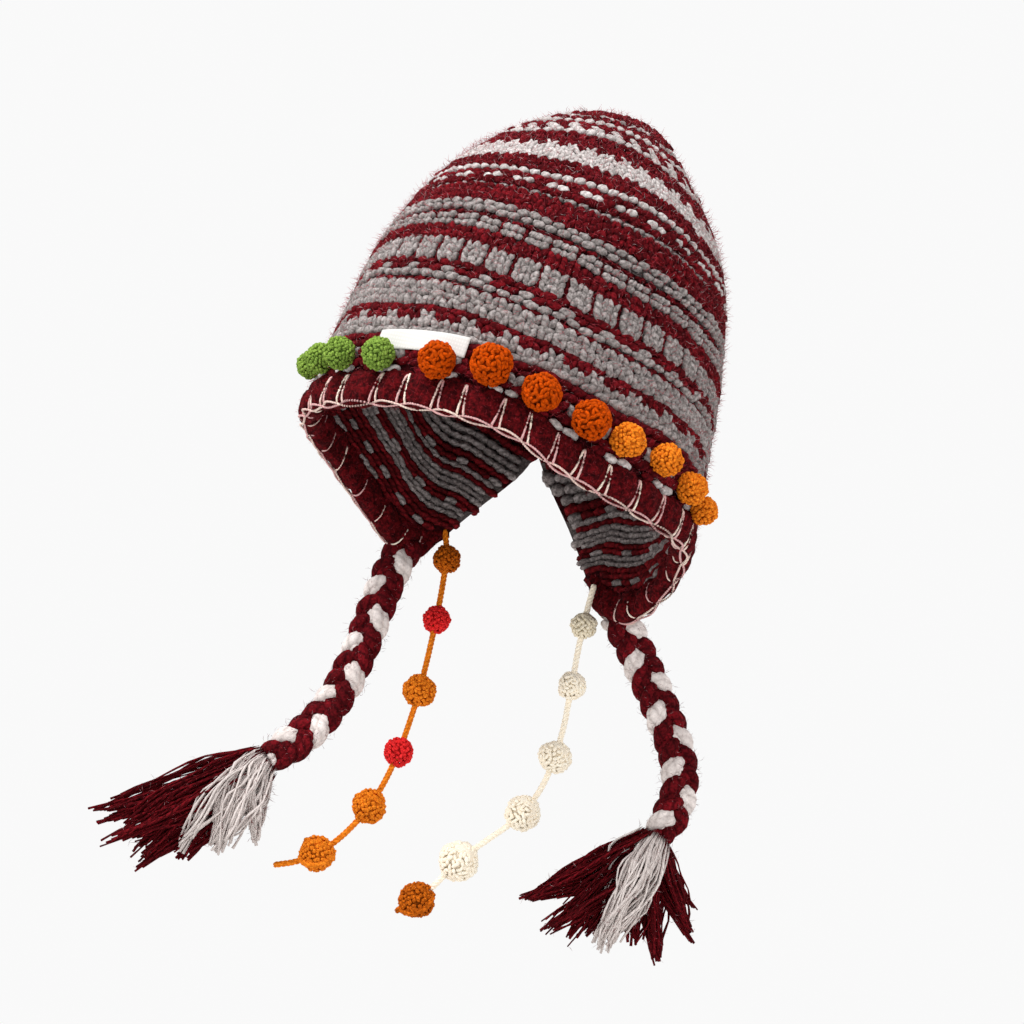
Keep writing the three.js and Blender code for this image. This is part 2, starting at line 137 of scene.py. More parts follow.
RIGHT_STRING_ROUTE = [
    (-38.7, 68.3, -21.8),
    (-33.3, 68.8, -33),
    (-30.8, 69.5, -44.5),
    (-28.6, 69.6, -56.2),
    (-26.7, 69.5, -67.8),
    (-25, 69.3, -79.5),
    (-23.5, 69.1, -91.1),
    (-22.2, 68.9, -103),
    (-21.5, 68.4, -114.7),
    (-21.1, 67.9, -126.4),
    (-21.3, 67.1, -138.3),
    (-22.2, 66.2, -149.9),
    (-24.2, 64.9, -161.5),
    (-27.6, 63.2, -172.6),
    (-32.3, 61.1, -183.2),
    (-38.6, 58.5, -192.9),
    (-46.7, 55.4, -200.7),
    (-56.3, 51.8, -206.4),
]
LEFT_STRING_ROUTE = [
    (44.7, 63.5, -26.3),
    (45.4, 63.7, -37.8),
    (46.6, 64.1, -49.4),
    (47.8, 65.3, -60.7),
    (49.4, 66.7, -71.9),
    (50.9, 68, -83.3),
    (52.4, 69.3, -94.6),
    (53.1, 70.4, -106.1),
    (53, 71.2, -117.5),
    (51.6, 71.6, -128.9),
    (48.2, 71.5, -140),
    (42.9, 70.7, -150.1),
    (36.3, 69.6, -159.5),
    (29.7, 68.4, -168.9),
    (24.1, 67.5, -178.8),
    (19.2, 66.9, -189.3),
    (13.4, 66, -199.1),
    (5.7, 64.5, -207.6),
]


FINE_PARTS = 12


def smooth_route(points, step):
    """Evenly spaced points on a smooth curve through the route, in metres."""
    knots = [Vector(p) * MM for p in points]
    knots = [2 * knots[0] - knots[1]] + knots + [2 * knots[-1] - knots[-2]]
    fine = []
    for a, b, c, d in zip(knots, knots[1:], knots[2:], knots[3:]):
        for i in range(FINE_PARTS):
            t = i / FINE_PARTS
            fine.append(
                0.5
                * (
                    2 * b
                    + (c - a) * t
                    + (2 * a - 5 * b + 4 * c - d) * t * t
                    + (3 * b - a - 3 * c + d) * t * t * t
                )
            )
    fine.append(knots[-2])
    spans = [(q - p).length for p, q in zip(fine, fine[1:])]
    length = sum(spans)
    count = max(2, round(length / step))
    even = [fine[0]]
    i, done = 0, 0.0
    for k in range(1, count):
        target = length * k / count
        while done + spans[i] < target:
            done += spans[i]
            i += 1
        even.append(fine[i].lerp(fine[i + 1], (target - done) / spans[i]))
    even.append(fine[-1])
    return even, length


for name, route in (("right braid", RIGHT_BRAID_ROUTE), ("left braid", LEFT_BRAID_ROUTE)):
    print(name, "is", round(smooth_route(route, 0.002)[1], 4), "m long")

# %% [markdown]
# ## Wool
# All the yarn but the blanket stitch is wool: matt fibres that scatter light at grazing angles. Each
# colour is one material. A yarn has three scales: its plies twist round it, finer fibres run along
# them, and each stitch took up the dye a little differently. Painted images could hold all this, but
# noise in the shader has no seams and needs no file. Fibres that stand off the yarn are made as real
# geometry later, because no shader can soften an outline.


# %% Node helpers
def linear(hex_colour):
    """An sRGB hex colour as linear RGBA."""
    values = []
    for i in (0, 2, 4):
        v = int(hex_colour[i : i + 2], 16) / 255
        values.append(v / 12.92 if v <= 0.04045 else ((v + 0.055) / 1.055) ** 2.4)
    return (*values, 1)


def add(tree, kind, settings=None, **links):
    """Adds a node. Settings are its properties; links are its inputs, a value or another node's output."""
    node = tree.nodes.new(kind)
    for key, value in (settings or {}).items():
        setattr(node, key, value)
    for key, value in links.items():
        socket = node.inputs[int(key[1:])] if key[1:].isdigit() else node.inputs[key.replace("_", " ")]
        if isinstance(value, bpy.types.NodeSocket):
            tree.links.new(value, socket)
        else:
            socket.default_value = value
    return node


print("mid grey as linear:", round(linear("808080")[0], 3))

# %% Yarn materials
PLIES = 2
PLY_TWIST = 1.4
DYE_PATCH = 9 * MM
FELT_CLUMP = 3 * MM
RELIEF_SHARE = 0.6
# A wool fibre is a few hundredths of a millimetre thick, too fine to show, so its noise is drawn coarser.
FIBRE_GRAIN = 1.2 * MM


def wool(name, shade, tone, deep, ply_mm=0.9, fuzz=0.3, bump=0.8, mottle=0.6, is_felted=False):
    """Dyed wool: tone is the yarn in light, shade is painted shade between its plies, deep a darker dye lot.

    Felted wool has lost its plies in the wash, so soft clumps take their place, with painted shade between
    them.
    """
    material = bpy.data.materials.new(name)
    material.use_nodes = True
    tree = material.node_tree
    tree.nodes.clear()
    place = add(tree, "ShaderNodeTexCoord")
    fibre = add(
        tree, "ShaderNodeTexNoise", None,
        Vector=place.outputs["Object"], Scale=1 / FIBRE_GRAIN, Detail=4.0, Roughness=0.72,
    )
    patch = add(
        tree, "ShaderNodeTexNoise", None,
        Vector=place.outputs["Object"], Scale=1 / DYE_PATCH, Detail=2.0, Roughness=0.5,
    )
    lay = add(
        tree, "ShaderNodeVectorMath", {"operation": "DOT_PRODUCT"},
        i0=place.outputs["UV"], i1=(math.pi * PLY_TWIST, math.pi * PLIES, 0),
    )
    swing = add(tree, "ShaderNodeMath", {"operation": "SINE"}, i0=lay.outputs["Value"])
    ply = add(tree, "ShaderNodeMath", {"operation": "ABSOLUTE"}, i0=swing.outputs["Value"]).outputs["Value"]
    if is_felted:
        clump = add(
            tree, "ShaderNodeTexNoise", None,
            Vector=place.outputs["Object"], Scale=1 / FELT_CLUMP, Detail=2.0, Roughness=0.6,
        )
        ply = add(
            tree, "ShaderNodeMapRange", None,
            Value=clump.outputs["Fac"], i1=0.4, i2=0.62, i3=0.0, i4=1.0,
        ).outputs["Result"]
    lot = add(tree, "ShaderNodeAttribute", {"attribute_name": "tone"})
    # Painted shade: the colour runs from shade where the relief is low, between the plies or the felt clumps,
    # to tone on its crests.
    strand = add(
        tree, "ShaderNodeMapRange", None,
        Value=ply, i1=0.0, i2=0.8, i3=0.25, i4=1.0,
    )
    tint = add(
        tree, "ShaderNodeMixRGB", {"blend_type": "MIX"},
        Fac=strand.outputs["Result"], Color1=linear(shade), Color2=linear(tone),
    )
    mottled = add(
        tree, "ShaderNodeMapRange", None,
        Value=fibre.outputs["Fac"], i1=0.36, i2=0.66, i3=1 - mottle, i4=1 + mottle,
    )
    lots = add(
        tree, "ShaderNodeMath", {"operation": "MULTIPLY"},
        i0=patch.outputs["Fac"], i1=lot.outputs["Fac"],
    )
    lot_share = add(
        tree, "ShaderNodeMapRange", None,
        Value=lots.outputs["Value"], i1=0.1, i2=0.5, i3=0.55, i4=0.0,
    )
    dyed = add(
        tree, "ShaderNodeMixRGB", {"blend_type": "MIX"},
        Fac=lot_share.outputs["Result"], Color1=tint.outputs["Color"], Color2=linear(deep),
    )
    colour = add(
        tree, "ShaderNodeHueSaturation", None,
        Color=dyed.outputs["Color"], Value=mottled.outputs["Result"],
    )
    relief = add(
        tree, "ShaderNodeMath", {"operation": "MULTIPLY_ADD"},
        i0=ply, i1=0.6, i2=fibre.outputs["Fac"],
    )
    raised = add(
        tree, "ShaderNodeBump", None,
        Strength=bump, Distance=ply_mm * RELIEF_SHARE * MM, Height=relief.outputs["Value"],
    )
    surface = add(
        tree, "ShaderNodeBsdfPrincipled", None,
        Base_Color=colour.outputs["Color"], Roughness=0.92, Normal=raised.outputs["Normal"],
    )
    surface.inputs["Sheen Weight"].default_value = fuzz
    surface.inputs["Sheen Roughness"].default_value = 0.45
    surface.inputs["Sheen Tint"].default_value = linear(tone)
    surface.inputs["Specular IOR Level"].default_value = 0.06
    add(tree, "ShaderNodeOutputMaterial", None, Surface=surface.outputs["BSDF"])
    return material


# The hat's own yarn is carded wool, loosely spun: matt, with painted shade in the valleys between its plies.
MAROON = wool("maroon_wool", "2c0409", "6e1119", "1e0305", fuzz=0.2, mottle=0.66)
GREY = wool("heather_grey_wool", "544e4d", "a59d9b", "6c6664", fuzz=0.2, mottle=0.5)
PALE = wool("pale_grey_wool", "8a8381", "d2cbc9", "96908d", fuzz=0.2, mottle=0.35)
OFF_WHITE = wool("off_white_wool", "b4a9a5", "e6dcd8", "c8bdb9", fuzz=0.15, bump=0.4, mottle=0.16)
# The border is the same maroon wool, felted: no plies show, only clumps and a dense nap, with painted shade
# in the hollows between the clumps.
BORDER = wool(
    "felted_border_wool", "240205", "7a1219", "1c0204", fuzz=0.05, bump=1.0, mottle=0.7, is_felted=True
)
# The yarn balls are tightly looped wool in strong dyes: evener, with little sheen.
MOSS = wool("moss_green_wool", "52692a", "90ae4c", "5e7c30", fuzz=0.05, mottle=0.35)
RUST = wool("burnt_orange_wool", "8e3400", "c84a00", "a43c00", fuzz=0.0, mottle=0.3)
AMBER = wool("amber_orange_wool", "bc5c10", "f48c24", "cc6a14", fuzz=0.0, mottle=0.3)
UMBER = wool("toffee_orange_wool", "8a4008", "d06a14", "9a480c", fuzz=0.0, mottle=0.35)
RED = wool("scarlet_wool", "b0181c", "f43434", "cc2024", fuzz=0.0, mottle=0.3)
OAT = wool("oat_wool", "cec0a4", "f0e6d0", "d8ccb2", fuzz=0.05, bump=0.3, mottle=0.12)
CREAM = wool("cream_wool", "f6e6ce", "fff8e8", "f6e8d2", fuzz=0.05, bump=0.2, mottle=0.06)
# The blanket stitch is spun cotton: finer plies, smoother, and dyed rose in patches.
THREAD = wool(
    "cream_blanket_thread", "ccb8a4", "fbeedd", "c4587a", ply_mm=0.5, fuzz=0.1, bump=0.4, mottle=0.15
)
# Inside the hat the yarn catches less light: the grey copy there is painted darker than the grey outside, a
# painted shade, while the maroon copy is about as bright as the maroon outside.
MAROON_LINING = wool("shaded_maroon_wool", "2c0508", "74161c", "220406", fuzz=0.05)
GREY_LINING = wool("shaded_grey_wool", "504847", "958c8b", "5c5453", fuzz=0.05)
# Between the stitches it is nearly dark: these two are painted shadow, dark copies of the maroon and the grey
# for the wall behind the stitches.
MAROON_PAINTED_SHADOW = wool("maroon_wool_painted_shadow_between_stitches", "200408", "440a10", "180305", fuzz=0.0, is_felted=True)
GREY_PAINTED_SHADOW = wool("grey_wool_painted_shadow_between_stitches", "443d3c", "6c6463", "4c4645", fuzz=0.0, is_felted=True)
# A single loose fibre lets light through, so it looks paler than the yarn that it came from. That light is
# painted: these colours are paler than the maroon and grey yarns.
RED_FIBRE = wool("loose_red_fibre", "9a3640", "c85a64", "a8404a", bump=0.0, mottle=0.2)
DARK_FIBRE = wool("loose_maroon_fibre", "5c1018", "8c2832", "6a1a22", bump=0.0, mottle=0.2)
GREY_FIBRE = wool("loose_grey_fibre", "b09c9c", "d6c6c6", "bcaaaa", bump=0.0, mottle=0.2)
print("yarns:", len(bpy.data.materials))


# %% [markdown]
# The tab is a woven tape: a fine rib of white polyester thread, smoother and a little shinier than wool.
# Two crossed waves make the weave: its relief, and a faint painted shade in its grooves. The floor is matt
# paint.

# %% Tape and paint
# Real ribs are well under a millimetre apart, too fine to show here, so they are drawn coarser.
RIB_PITCH = 1.7813 * MM
WEFT_SHARE = 0.8
WAVE_PERIOD = math.pi / 10


def woven_tape(name, tone):
    """A white ribbed tape. A wave texture at scale 1 repeats every WAVE_PERIOD."""
    material = bpy.data.materials.new(name)
    material.use_nodes = True
    tree = material.node_tree
    tree.nodes.clear()
    place = add(tree, "ShaderNodeTexCoord")
    ribs = add(
        tree, "ShaderNodeTexWave", {"wave_type": "BANDS", "bands_direction": "Z"},
        Vector=place.outputs["Object"], Scale=WAVE_PERIOD / RIB_PITCH, Distortion=0.4, Detail=1.0,
    )
    weft = add(
        tree, "ShaderNodeTexWave", {"wave_type": "BANDS", "bands_direction": "X"},
        Vector=place.outputs["Object"], Scale=WAVE_PERIOD / (RIB_PITCH * WEFT_SHARE),
        Distortion=0.4, Detail=1.0,
    )
    weave = add(
        tree, "ShaderNodeMath", {"operation": "MULTIPLY"},
        i0=ribs.outputs["Fac"], i1=weft.outputs["Fac"],
    )
    # Painted shade: the tape is up to fourteen percent darker where the weave is low.
    shade = add(tree, "ShaderNodeMapRange", None, Value=weave.outputs["Value"], i3=0.86, i4=1.0)
    colour = add(
        tree, "ShaderNodeHueSaturation", None, Color=linear(tone), Value=shade.outputs["Result"],
    )
    raised = add(
        tree, "ShaderNodeBump", None, Strength=0.5, Distance=0.1 * MM, Height=weave.outputs["Value"],
    )
    surface = add(
        tree, "ShaderNodeBsdfPrincipled", None,
        Base_Color=colour.outputs["Color"], Roughness=0.6, Normal=raised.outputs["Normal"],
    )
    surface.inputs["Sheen Weight"].default_value = 0.2
    add(tree, "ShaderNodeOutputMaterial", None, Surface=surface.outputs["BSDF"])
    return material


def matt_paint(name, tone):
    material = bpy.data.materials.new(name)
    material.use_nodes = True
    surface = material.node_tree.nodes["Principled BSDF"]
    surface.inputs["Base Color"].default_value = linear(tone)
    surface.inputs["Roughness"].default_value = 0.9
    return material


TAB_CLOTH = woven_tape("white_woven_tape", "d6d4d0")
FLOOR_PAINT = matt_paint("pale_floor_paint", "e8e7e5")
print("materials:", len(bpy.data.materials))

# %% [markdown]
# ## The surface of the hat
# Every stitch needs a place on the crown. The crown is a turned outline whose lower edge rises over the
# brow and drops into the two flaps, so a place is given by an azimuth round the head, a distance up
# from the border's lower edge, and a depth in from the outer face. These are the solids' own numbers.

# %% Tables of the hat's form
# Height, radius, and how far the middle leans towards LEAN_AZIMUTH.
OUTLINE = [
    (-46, 96, 0),
    (0, 97, 0),
    (20, 95.3, -1.2),
    (42, 92.6, -2.7),
    (66, 89.4, -4),
    (90, 84.6, -4.9),
    (118, 75.4, -4.4),
    (139, 63.6, -4.3),
    (155, 49.4, -4.4),
    (167, 36.4, -3.6),
    (176, 23.6, -1.5),
    (181.5, 12.8, 1),
    (185, 0, 4),
]
# Azimuth, how far the lower edge rises there, and how far it tucks in.
RIM = [
    (-173, -34, 8),
    (-152, -36, 15),
    (-141, -40.5, 16),
    (-131, -38.5, 15),
    (-121, -30.5, 12),
    (-111, -22.5, 8),
    (-100, -15, 4),
    (-84, -9.5, 1),
    (-56, -6, 0),
    (-34, -3, 0),
    (-15, 1, 0),
    (4, 3, 0),
    (18, 2, 0),
    (29, -3.5, 0),
    (42, -6.8, 0),
    (62, -7.8, 0),
    (85, -9, 0),
    (98, -13.5, 1),
    (108, -21.5, 2),
    (118, -32, 4),
    (130, -40.5, 6),
    (142, -40, 8),
    (152, -35, 9),
    (187, -34, 8),
]
# Distance up from the edge, and how much of the edge's rise is still felt there.
FOLLOW = [
    (0, 1),
    (30, 1.08),
    (70, 1.1),
    (96, 0.88),
    (122, 0.55),
    (150, 0.26),
    (180, 0.08),
    (230, 0),
]
# Distance up from the edge, and the azimuths of the nape slit's right and left side.
SLIT = [
    (0, -148, 148.5),
    (12, -151.5, 154),
    (36, -161, 168.5),
    (58, -170, 181),
    (70, -173, 187),
]
LEAN_AZIMUTH = 107
TUCK_REACH = 95
GATHERS = 9
GATHER_DEPTH = 0.09
GATHER_FROM, GATHER_FULL = 50, 12
NAPE_AZIMUTH = -173
BORDER_HEIGHT = 17.5
print("rows of outline, rim, slit:", len(OUTLINE), len(RIM), len(SLIT))


# %% A place on the hat
def eased(table, x, column):
    """A smooth value between a table's rows: a cubic with each row's slope from its neighbours."""
    if x <= table[0][0]:
        return table[0][column]
    if x >= table[-1][0]:
        return table[-1][column]
    i = next(k for k in range(1, len(table)) if table[k][0] > x) - 1

    def slope(k):
        a, b = table[max(k - 1, 0)], table[min(k + 1, len(table) - 1)]
        return (b[column] - a[column]) / (b[0] - a[0])

    run = table[i + 1][0] - table[i][0]
    t = (x - table[i][0]) / run
    return (
        table[i][column] * (2 * t**3 - 3 * t * t + 1)
        + table[i + 1][column] * (3 * t * t - 2 * t**3)
        + run * (slope(i) * (t**3 - 2 * t * t + t) + slope(i + 1) * (t**3 - t * t))
    )


def measured(outline):
    """The outline's rows as (distance along it, height, radius, lean), with 0 at height 0."""
    start = next(i for i, row in enumerate(outline) if row[0] == 0)
    along = [0.0] * len(outline)
    for i in range(start + 1, len(outline)):
        along[i] = along[i - 1] + math.hypot(
            outline[i][0] - outline[i - 1][0], outline[i][1] - outline[i - 1][1]
        )
    for i in range(start - 1, -1, -1):
        along[i] = along[i + 1] - math.hypot(
            outline[i][0] - outline[i + 1][0], outline[i][1] - outline[i + 1][1]
        )
    return [(s, *row) for s, row in zip(along, outline)]


PROFILE = measured(OUTLINE)
PROFILE_TOP = PROFILE[-1][0]


def eased_step(x, low, high):
    t = min(1, max(0, (x - low) / (high - low)))
    return t * t * (3 - 2 * t)


def on_hat(azimuth, along, depth):
    """A place on the hat, in metres, and the surface's outward direction there."""
    s = along + eased(RIM, azimuth, 1) * eased(FOLLOW, along, 1)
    rise = eased(PROFILE, s + 1, 1) - eased(PROFILE, s - 1, 1)
    run = eased(PROFILE, s + 1, 2) - eased(PROFILE, s - 1, 2)
    norm = math.hypot(rise, run) or 1
    tuck_share = max(0, 1 - along / TUCK_REACH)
    tuck = eased(RIM, azimuth, 2) * tuck_share * (2 - tuck_share)
    turn = math.radians(azimuth)
    near_top = eased_step(s, PROFILE_TOP - GATHER_FROM, PROFILE_TOP - GATHER_FULL)
    gather = 1 + GATHER_DEPTH * near_top * math.cos(GATHERS * turn)
    radius = max(0, (eased(PROFILE, s, 2) - tuck) * gather - depth * rise / norm)
    height = eased(PROFILE, s, 1) + depth * run / norm
    lean, side = eased(PROFILE, s, 3), math.radians(LEAN_AZIMUTH)
    place = Vector(
        (
            radius * math.sin(turn) + lean * math.sin(side),
            -radius * math.cos(turn) - lean * math.cos(side),
            height,
        )
    )
    out = Vector((math.sin(turn) * rise, -math.cos(turn) * rise, -run)).normalized()
    return place * MM, out


def slit_azimuths(along):
    top = SLIT[-1][0]
    return eased(SLIT, min(along, top), 1), eased(SLIT, min(along, top), 2)


print("outline runs", round(PROFILE_TOP), "mm up the crown; brow at", on_hat(0, 0, 0)[0])

# %% [markdown]
# ## Laying stitches
# A knit is one short bead of yarn repeated thousands of times, so the beads are instanced. The stitch
# plan is worked out as a cloud of points, each with a turn, a size and a dye lot, and one Geometry Nodes
# tree lays a bead on each point and makes them real. Modelling a few stitches and tiling them with
# arrays would also work on a flat cloth, but here rows widen, narrow and split at the nape.


# %% The bead of yarn
def bead_mesh(name, sides, rings):
    """One bead of yarn along X, 1 long and 1 thick, with a UV map that runs along it."""
    points, faces = [(-0.5, 0, 0)], []
    for j in range(1, rings):
        t = j / rings
        x, r = -0.5 * math.cos(math.pi * t), 0.5 * math.sin(math.pi * t) ** 0.8
        sag = 0.1 * (1 - (2 * t - 1) ** 2)
        for i in range(sides):
            a = 2 * math.pi * i / sides
            points.append((x, r * math.cos(a), r * math.sin(a) + sag))
    points.append((0.5, 0, 0))
    tip = len(points) - 1
    for i in range(sides):
        k = (i + 1) % sides
        faces.append((0, 1 + k, 1 + i))
        for j in range(rings - 2):
            a = 1 + j * sides
            faces.append((a + i, a + k, a + k + sides, a + i + sides))
        last = 1 + (rings - 2) * sides
        faces.append((last + i, last + k, tip))
    mesh = bpy.data.meshes.new(name)
    mesh.from_pydata(points, [], faces)
    uv = mesh.uv_layers.new(name="UVMap")
    for polygon in mesh.polygons:
        middle = math.atan2(polygon.center.z, polygon.center.y) / (2 * math.pi)
        for loop in polygon.loop_indices:
            p = points[mesh.loops[loop].vertex_index]
            around = math.atan2(p[2], p[1]) / (2 * math.pi) if abs(p[0]) < 0.5 else middle
            uv.data[loop].uv = (p[0] + 0.5, around + round(middle - around))
    mesh.shade_smooth()
    return mesh


def hidden_tool(name, mesh):
    """A mesh that trees instance, kept out of the scene's collection."""
    return bpy.data.objects.new(name, mesh)


STITCH_BEAD = hidden_tool("stitch_bead", bead_mesh("stitch_bead", 6, 5))
LINING_BEAD = hidden_tool("lining_bead", bead_mesh("lining_bead", 4, 4))
KNOB_BEAD = hidden_tool("knob_bead", bead_mesh("knob_bead", 5, 4))
print("faces in a stitch:", len(STITCH_BEAD.data.polygons))


# %% Geometry Nodes helpers
def new_tree(name, inputs):
    """A geometry tree with a geometry input, the named inputs and a geometry output."""
    tree = bpy.data.node_groups.new(name, "GeometryNodeTree")
    tree.interface.new_socket("Geometry", in_out="INPUT", socket_type="NodeSocketGeometry")
    for label, kind in inputs:
        tree.interface.new_socket(label, in_out="INPUT", socket_type="NodeSocket" + kind)
    tree.interface.new_socket("Geometry", in_out="OUTPUT", socket_type="NodeSocketGeometry")
    return tree, tree.nodes.new("NodeGroupInput").outputs


def grown(name, base_mesh, tree, values, node_names=()):
    """Runs a tree on a mesh and keeps the result as a plain piece that rides on the hat."""
    piece = bpy.data.objects.new(name, base_mesh)
    bpy.context.scene.collection.objects.link(piece)
    modifier = piece.modifiers.new("grow", "NODES")
    modifier.node_group = tree
    for item in tree.interface.items_tree:
        if item.item_type == "SOCKET" and item.in_out == "INPUT" and item.name in values:
            modifier[item.identifier] = values[item.name]
    graph = bpy.context.evaluated_depsgraph_get()
    plain = bpy.data.meshes.new_from_object(piece.evaluated_get(graph), depsgraph=graph)
    plain.name = name
    piece.modifiers.clear()
    piece.data = plain
    for polygon in plain.polygons:
        polygon.use_smooth = True
    if node_names:
        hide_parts(*node_names)
    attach(piece, "root")
    triangles = sum(len(p.vertices) - 2 for p in plain.polygons)
    print(f"{name}: {triangles} triangles")
    return piece


# %% The tree that lays beads
bead_tree, group = new_tree("lay_beads", [("Bead", "Object"), ("Unevenness", "Float"), ("Yarn", "Material")])
turn = add(bead_tree, "GeometryNodeInputNamedAttribute", {"data_type": "FLOAT_VECTOR"}, Name="turn")
size = add(bead_tree, "GeometryNodeInputNamedAttribute", {"data_type": "FLOAT_VECTOR"}, Name="size")
tone = add(bead_tree, "GeometryNodeInputNamedAttribute", {"data_type": "FLOAT"}, Name="tone")
bead = add(bead_tree, "GeometryNodeObjectInfo", None, Object=group["Bead"])
turned = add(bead_tree, "FunctionNodeEulerToRotation", None, Euler=turn.outputs["Attribute"])
laid = add(
    bead_tree, "GeometryNodeInstanceOnPoints", None,
    Points=group["Geometry"], Instance=bead.outputs["Geometry"],
    Rotation=turned.outputs["Rotation"], Scale=size.outputs["Attribute"],
)
real = add(bead_tree, "GeometryNodeRealizeInstances", None, Geometry=laid.outputs["Instances"])
YARN_LUMP = 1.6 * MM
grain = add(bead_tree, "ShaderNodeTexNoise", None, Scale=1 / YARN_LUMP, Detail=1.0)
centred = add(
    bead_tree, "ShaderNodeVectorMath", {"operation": "SUBTRACT"},
    i0=grain.outputs["Color"], i1=(0.5, 0.5, 0.5),
)
moved = add(
    bead_tree, "ShaderNodeVectorMath", {"operation": "SCALE"},
    Vector=centred.outputs["Vector"], Scale=group["Unevenness"],
)
uneven = add(
    bead_tree, "GeometryNodeSetPosition", None,
    Geometry=real.outputs["Geometry"], Offset=moved.outputs["Vector"],
)
spun = add(
    bead_tree, "GeometryNodeSetMaterial", None, Geometry=uneven.outputs["Geometry"], Material=group["Yarn"],
)
add(bead_tree, "NodeGroupOutput", None, Geometry=spun.outputs["Geometry"])


def bead_cloud(name, beads):
    """A mesh of points, each with the turn, size and dye lot of one bead."""
    mesh = bpy.data.meshes.new(name)
    mesh.from_pydata([b[0] for b in beads], [], [])
    turns, sizes, lots = [], [], []
    for _, aim, out, length, width, lot in beads:
        side = out.cross(aim).normalized()
        ahead = side.cross(out).normalized()
        turns.extend(Matrix((ahead, side, out)).transposed().to_euler())
        sizes.extend((length, width, width))
        lots.append(lot)
    mesh.attributes.new("turn", "FLOAT_VECTOR", "POINT").data.foreach_set("vector", turns)
    mesh.attributes.new("size", "FLOAT_VECTOR", "POINT").data.foreach_set("vector", sizes)
    mesh.attributes.new("tone", "FLOAT", "POINT").data.foreach_set("value", lots)
    return mesh


print("tree nodes:", len(bead_tree.nodes))


# %% [markdown]
# ## Tubes of yarn
# Braid strands, string plies, sewing thread and tassel yarns are all tubes that follow a line. The line
# is a chain of edges that carries its own thickness and twist, and a second tree spins a tube on it. A
# curve with a bevel would do for one yarn. Here there are hundreds, so one tree reads thickness, twist
# and colour from the points and spins them all at once. The tube's outline repeats its first point, so
# the map round the yarn has no smeared seam, and merging afterwards closes it.

# %% The tree that spins tubes
YARN_REPEAT = 6 * MM
tube_tree, group = new_tree(
    "spin_tubes", [("Sides", "Int"), ("Yarn", "Material"), ("Second Yarn", "Material")]
)
thickness = add(tube_tree, "GeometryNodeInputNamedAttribute", {"data_type": "FLOAT"}, Name="radius")
twisting = add(tube_tree, "GeometryNodeInputNamedAttribute", {"data_type": "FLOAT"}, Name="twist")
line = add(tube_tree, "GeometryNodeMeshToCurve", None, Mesh=group["Geometry"])
tilted = add(
    tube_tree, "GeometryNodeSetCurveTilt", None,
    Curve=line.outputs["Curve"], Tilt=twisting.outputs["Attribute"],
)
run = add(tube_tree, "GeometryNodeSplineParameter")
marked = add(
    tube_tree, "GeometryNodeStoreNamedAttribute", {"data_type": "FLOAT", "domain": "POINT"},
    Geometry=tilted.outputs["Curve"], Name="run", Value=run.outputs["Length"],
)
corners = add(tube_tree, "ShaderNodeMath", {"operation": "ADD"}, i0=group["Sides"], i1=1.0)
ring = add(tube_tree, "GeometryNodeMeshLine", None, Count=corners.outputs["Value"], Offset=(0, 0, 0))
index = add(tube_tree, "GeometryNodeInputIndex")
share = add(
    tube_tree, "ShaderNodeMath", {"operation": "DIVIDE"},
    i0=index.outputs["Index"], i1=group["Sides"],
)
numbered = add(
    tube_tree, "GeometryNodeStoreNamedAttribute", {"data_type": "FLOAT", "domain": "POINT"},
    Geometry=ring.outputs["Mesh"], Name="around", Value=share.outputs["Value"],
)
angle = add(
    tube_tree, "ShaderNodeMath", {"operation": "MULTIPLY"},
    i0=share.outputs["Value"], i1=2 * math.pi,
)
cosine = add(tube_tree, "ShaderNodeMath", {"operation": "COSINE"}, i0=angle.outputs["Value"])
sine = add(tube_tree, "ShaderNodeMath", {"operation": "SINE"}, i0=angle.outputs["Value"])
spot = add(tube_tree, "ShaderNodeCombineXYZ", None, X=cosine.outputs["Value"], Y=sine.outputs["Value"])
shaped = add(
    tube_tree, "GeometryNodeSetPosition", None,
    Geometry=numbered.outputs["Geometry"], Position=spot.outputs["Vector"],
)
outline = add(tube_tree, "GeometryNodeMeshToCurve", None, Mesh=shaped.outputs["Geometry"])
swept = add(
    tube_tree, "GeometryNodeCurveToMesh", None,
    Curve=marked.outputs["Geometry"], Profile_Curve=outline.outputs["Curve"],
    Scale=thickness.outputs["Attribute"],
)
print("nodes that sweep:", len(tube_tree.nodes))

# %% Map and colour the tubes
run_read = add(tube_tree, "GeometryNodeInputNamedAttribute", {"data_type": "FLOAT"}, Name="run")
around_read = add(tube_tree, "GeometryNodeInputNamedAttribute", {"data_type": "FLOAT"}, Name="around")
run_share = add(
    tube_tree, "ShaderNodeMath", {"operation": "DIVIDE"},
    i0=run_read.outputs["Attribute"], i1=YARN_REPEAT,
)
place = add(
    tube_tree, "ShaderNodeCombineXYZ", None,
    X=run_share.outputs["Value"], Y=around_read.outputs["Attribute"],
)
mapped = add(
    tube_tree, "GeometryNodeStoreNamedAttribute", {"data_type": "FLOAT2", "domain": "CORNER"},
    Geometry=swept.outputs["Mesh"], Name="UVMap", Value=place.outputs["Vector"],
)
closed = add(
    tube_tree, "GeometryNodeMergeByDistance", None, Geometry=mapped.outputs["Geometry"], Distance=1e-7
)
real = add(tube_tree, "GeometryNodeRealizeInstances", None, Geometry=closed.outputs["Geometry"])
spun = add(
    tube_tree, "GeometryNodeSetMaterial", None,
    Geometry=real.outputs["Geometry"], Material=group["Yarn"],
)
second = add(tube_tree, "GeometryNodeInputNamedAttribute", {"data_type": "FLOAT"}, Name="second")
chosen = add(
    tube_tree, "ShaderNodeMath", {"operation": "GREATER_THAN"},
    i0=second.outputs["Attribute"], i1=0.5,
)
spun_twice = add(
    tube_tree, "GeometryNodeSetMaterial", None,
    Geometry=spun.outputs["Geometry"], Selection=chosen.outputs["Value"], Material=group["Second Yarn"],
)
add(tube_tree, "NodeGroupOutput", None, Geometry=spun_twice.outputs["Geometry"])
print("tube tree nodes:", len(tube_tree.nodes))


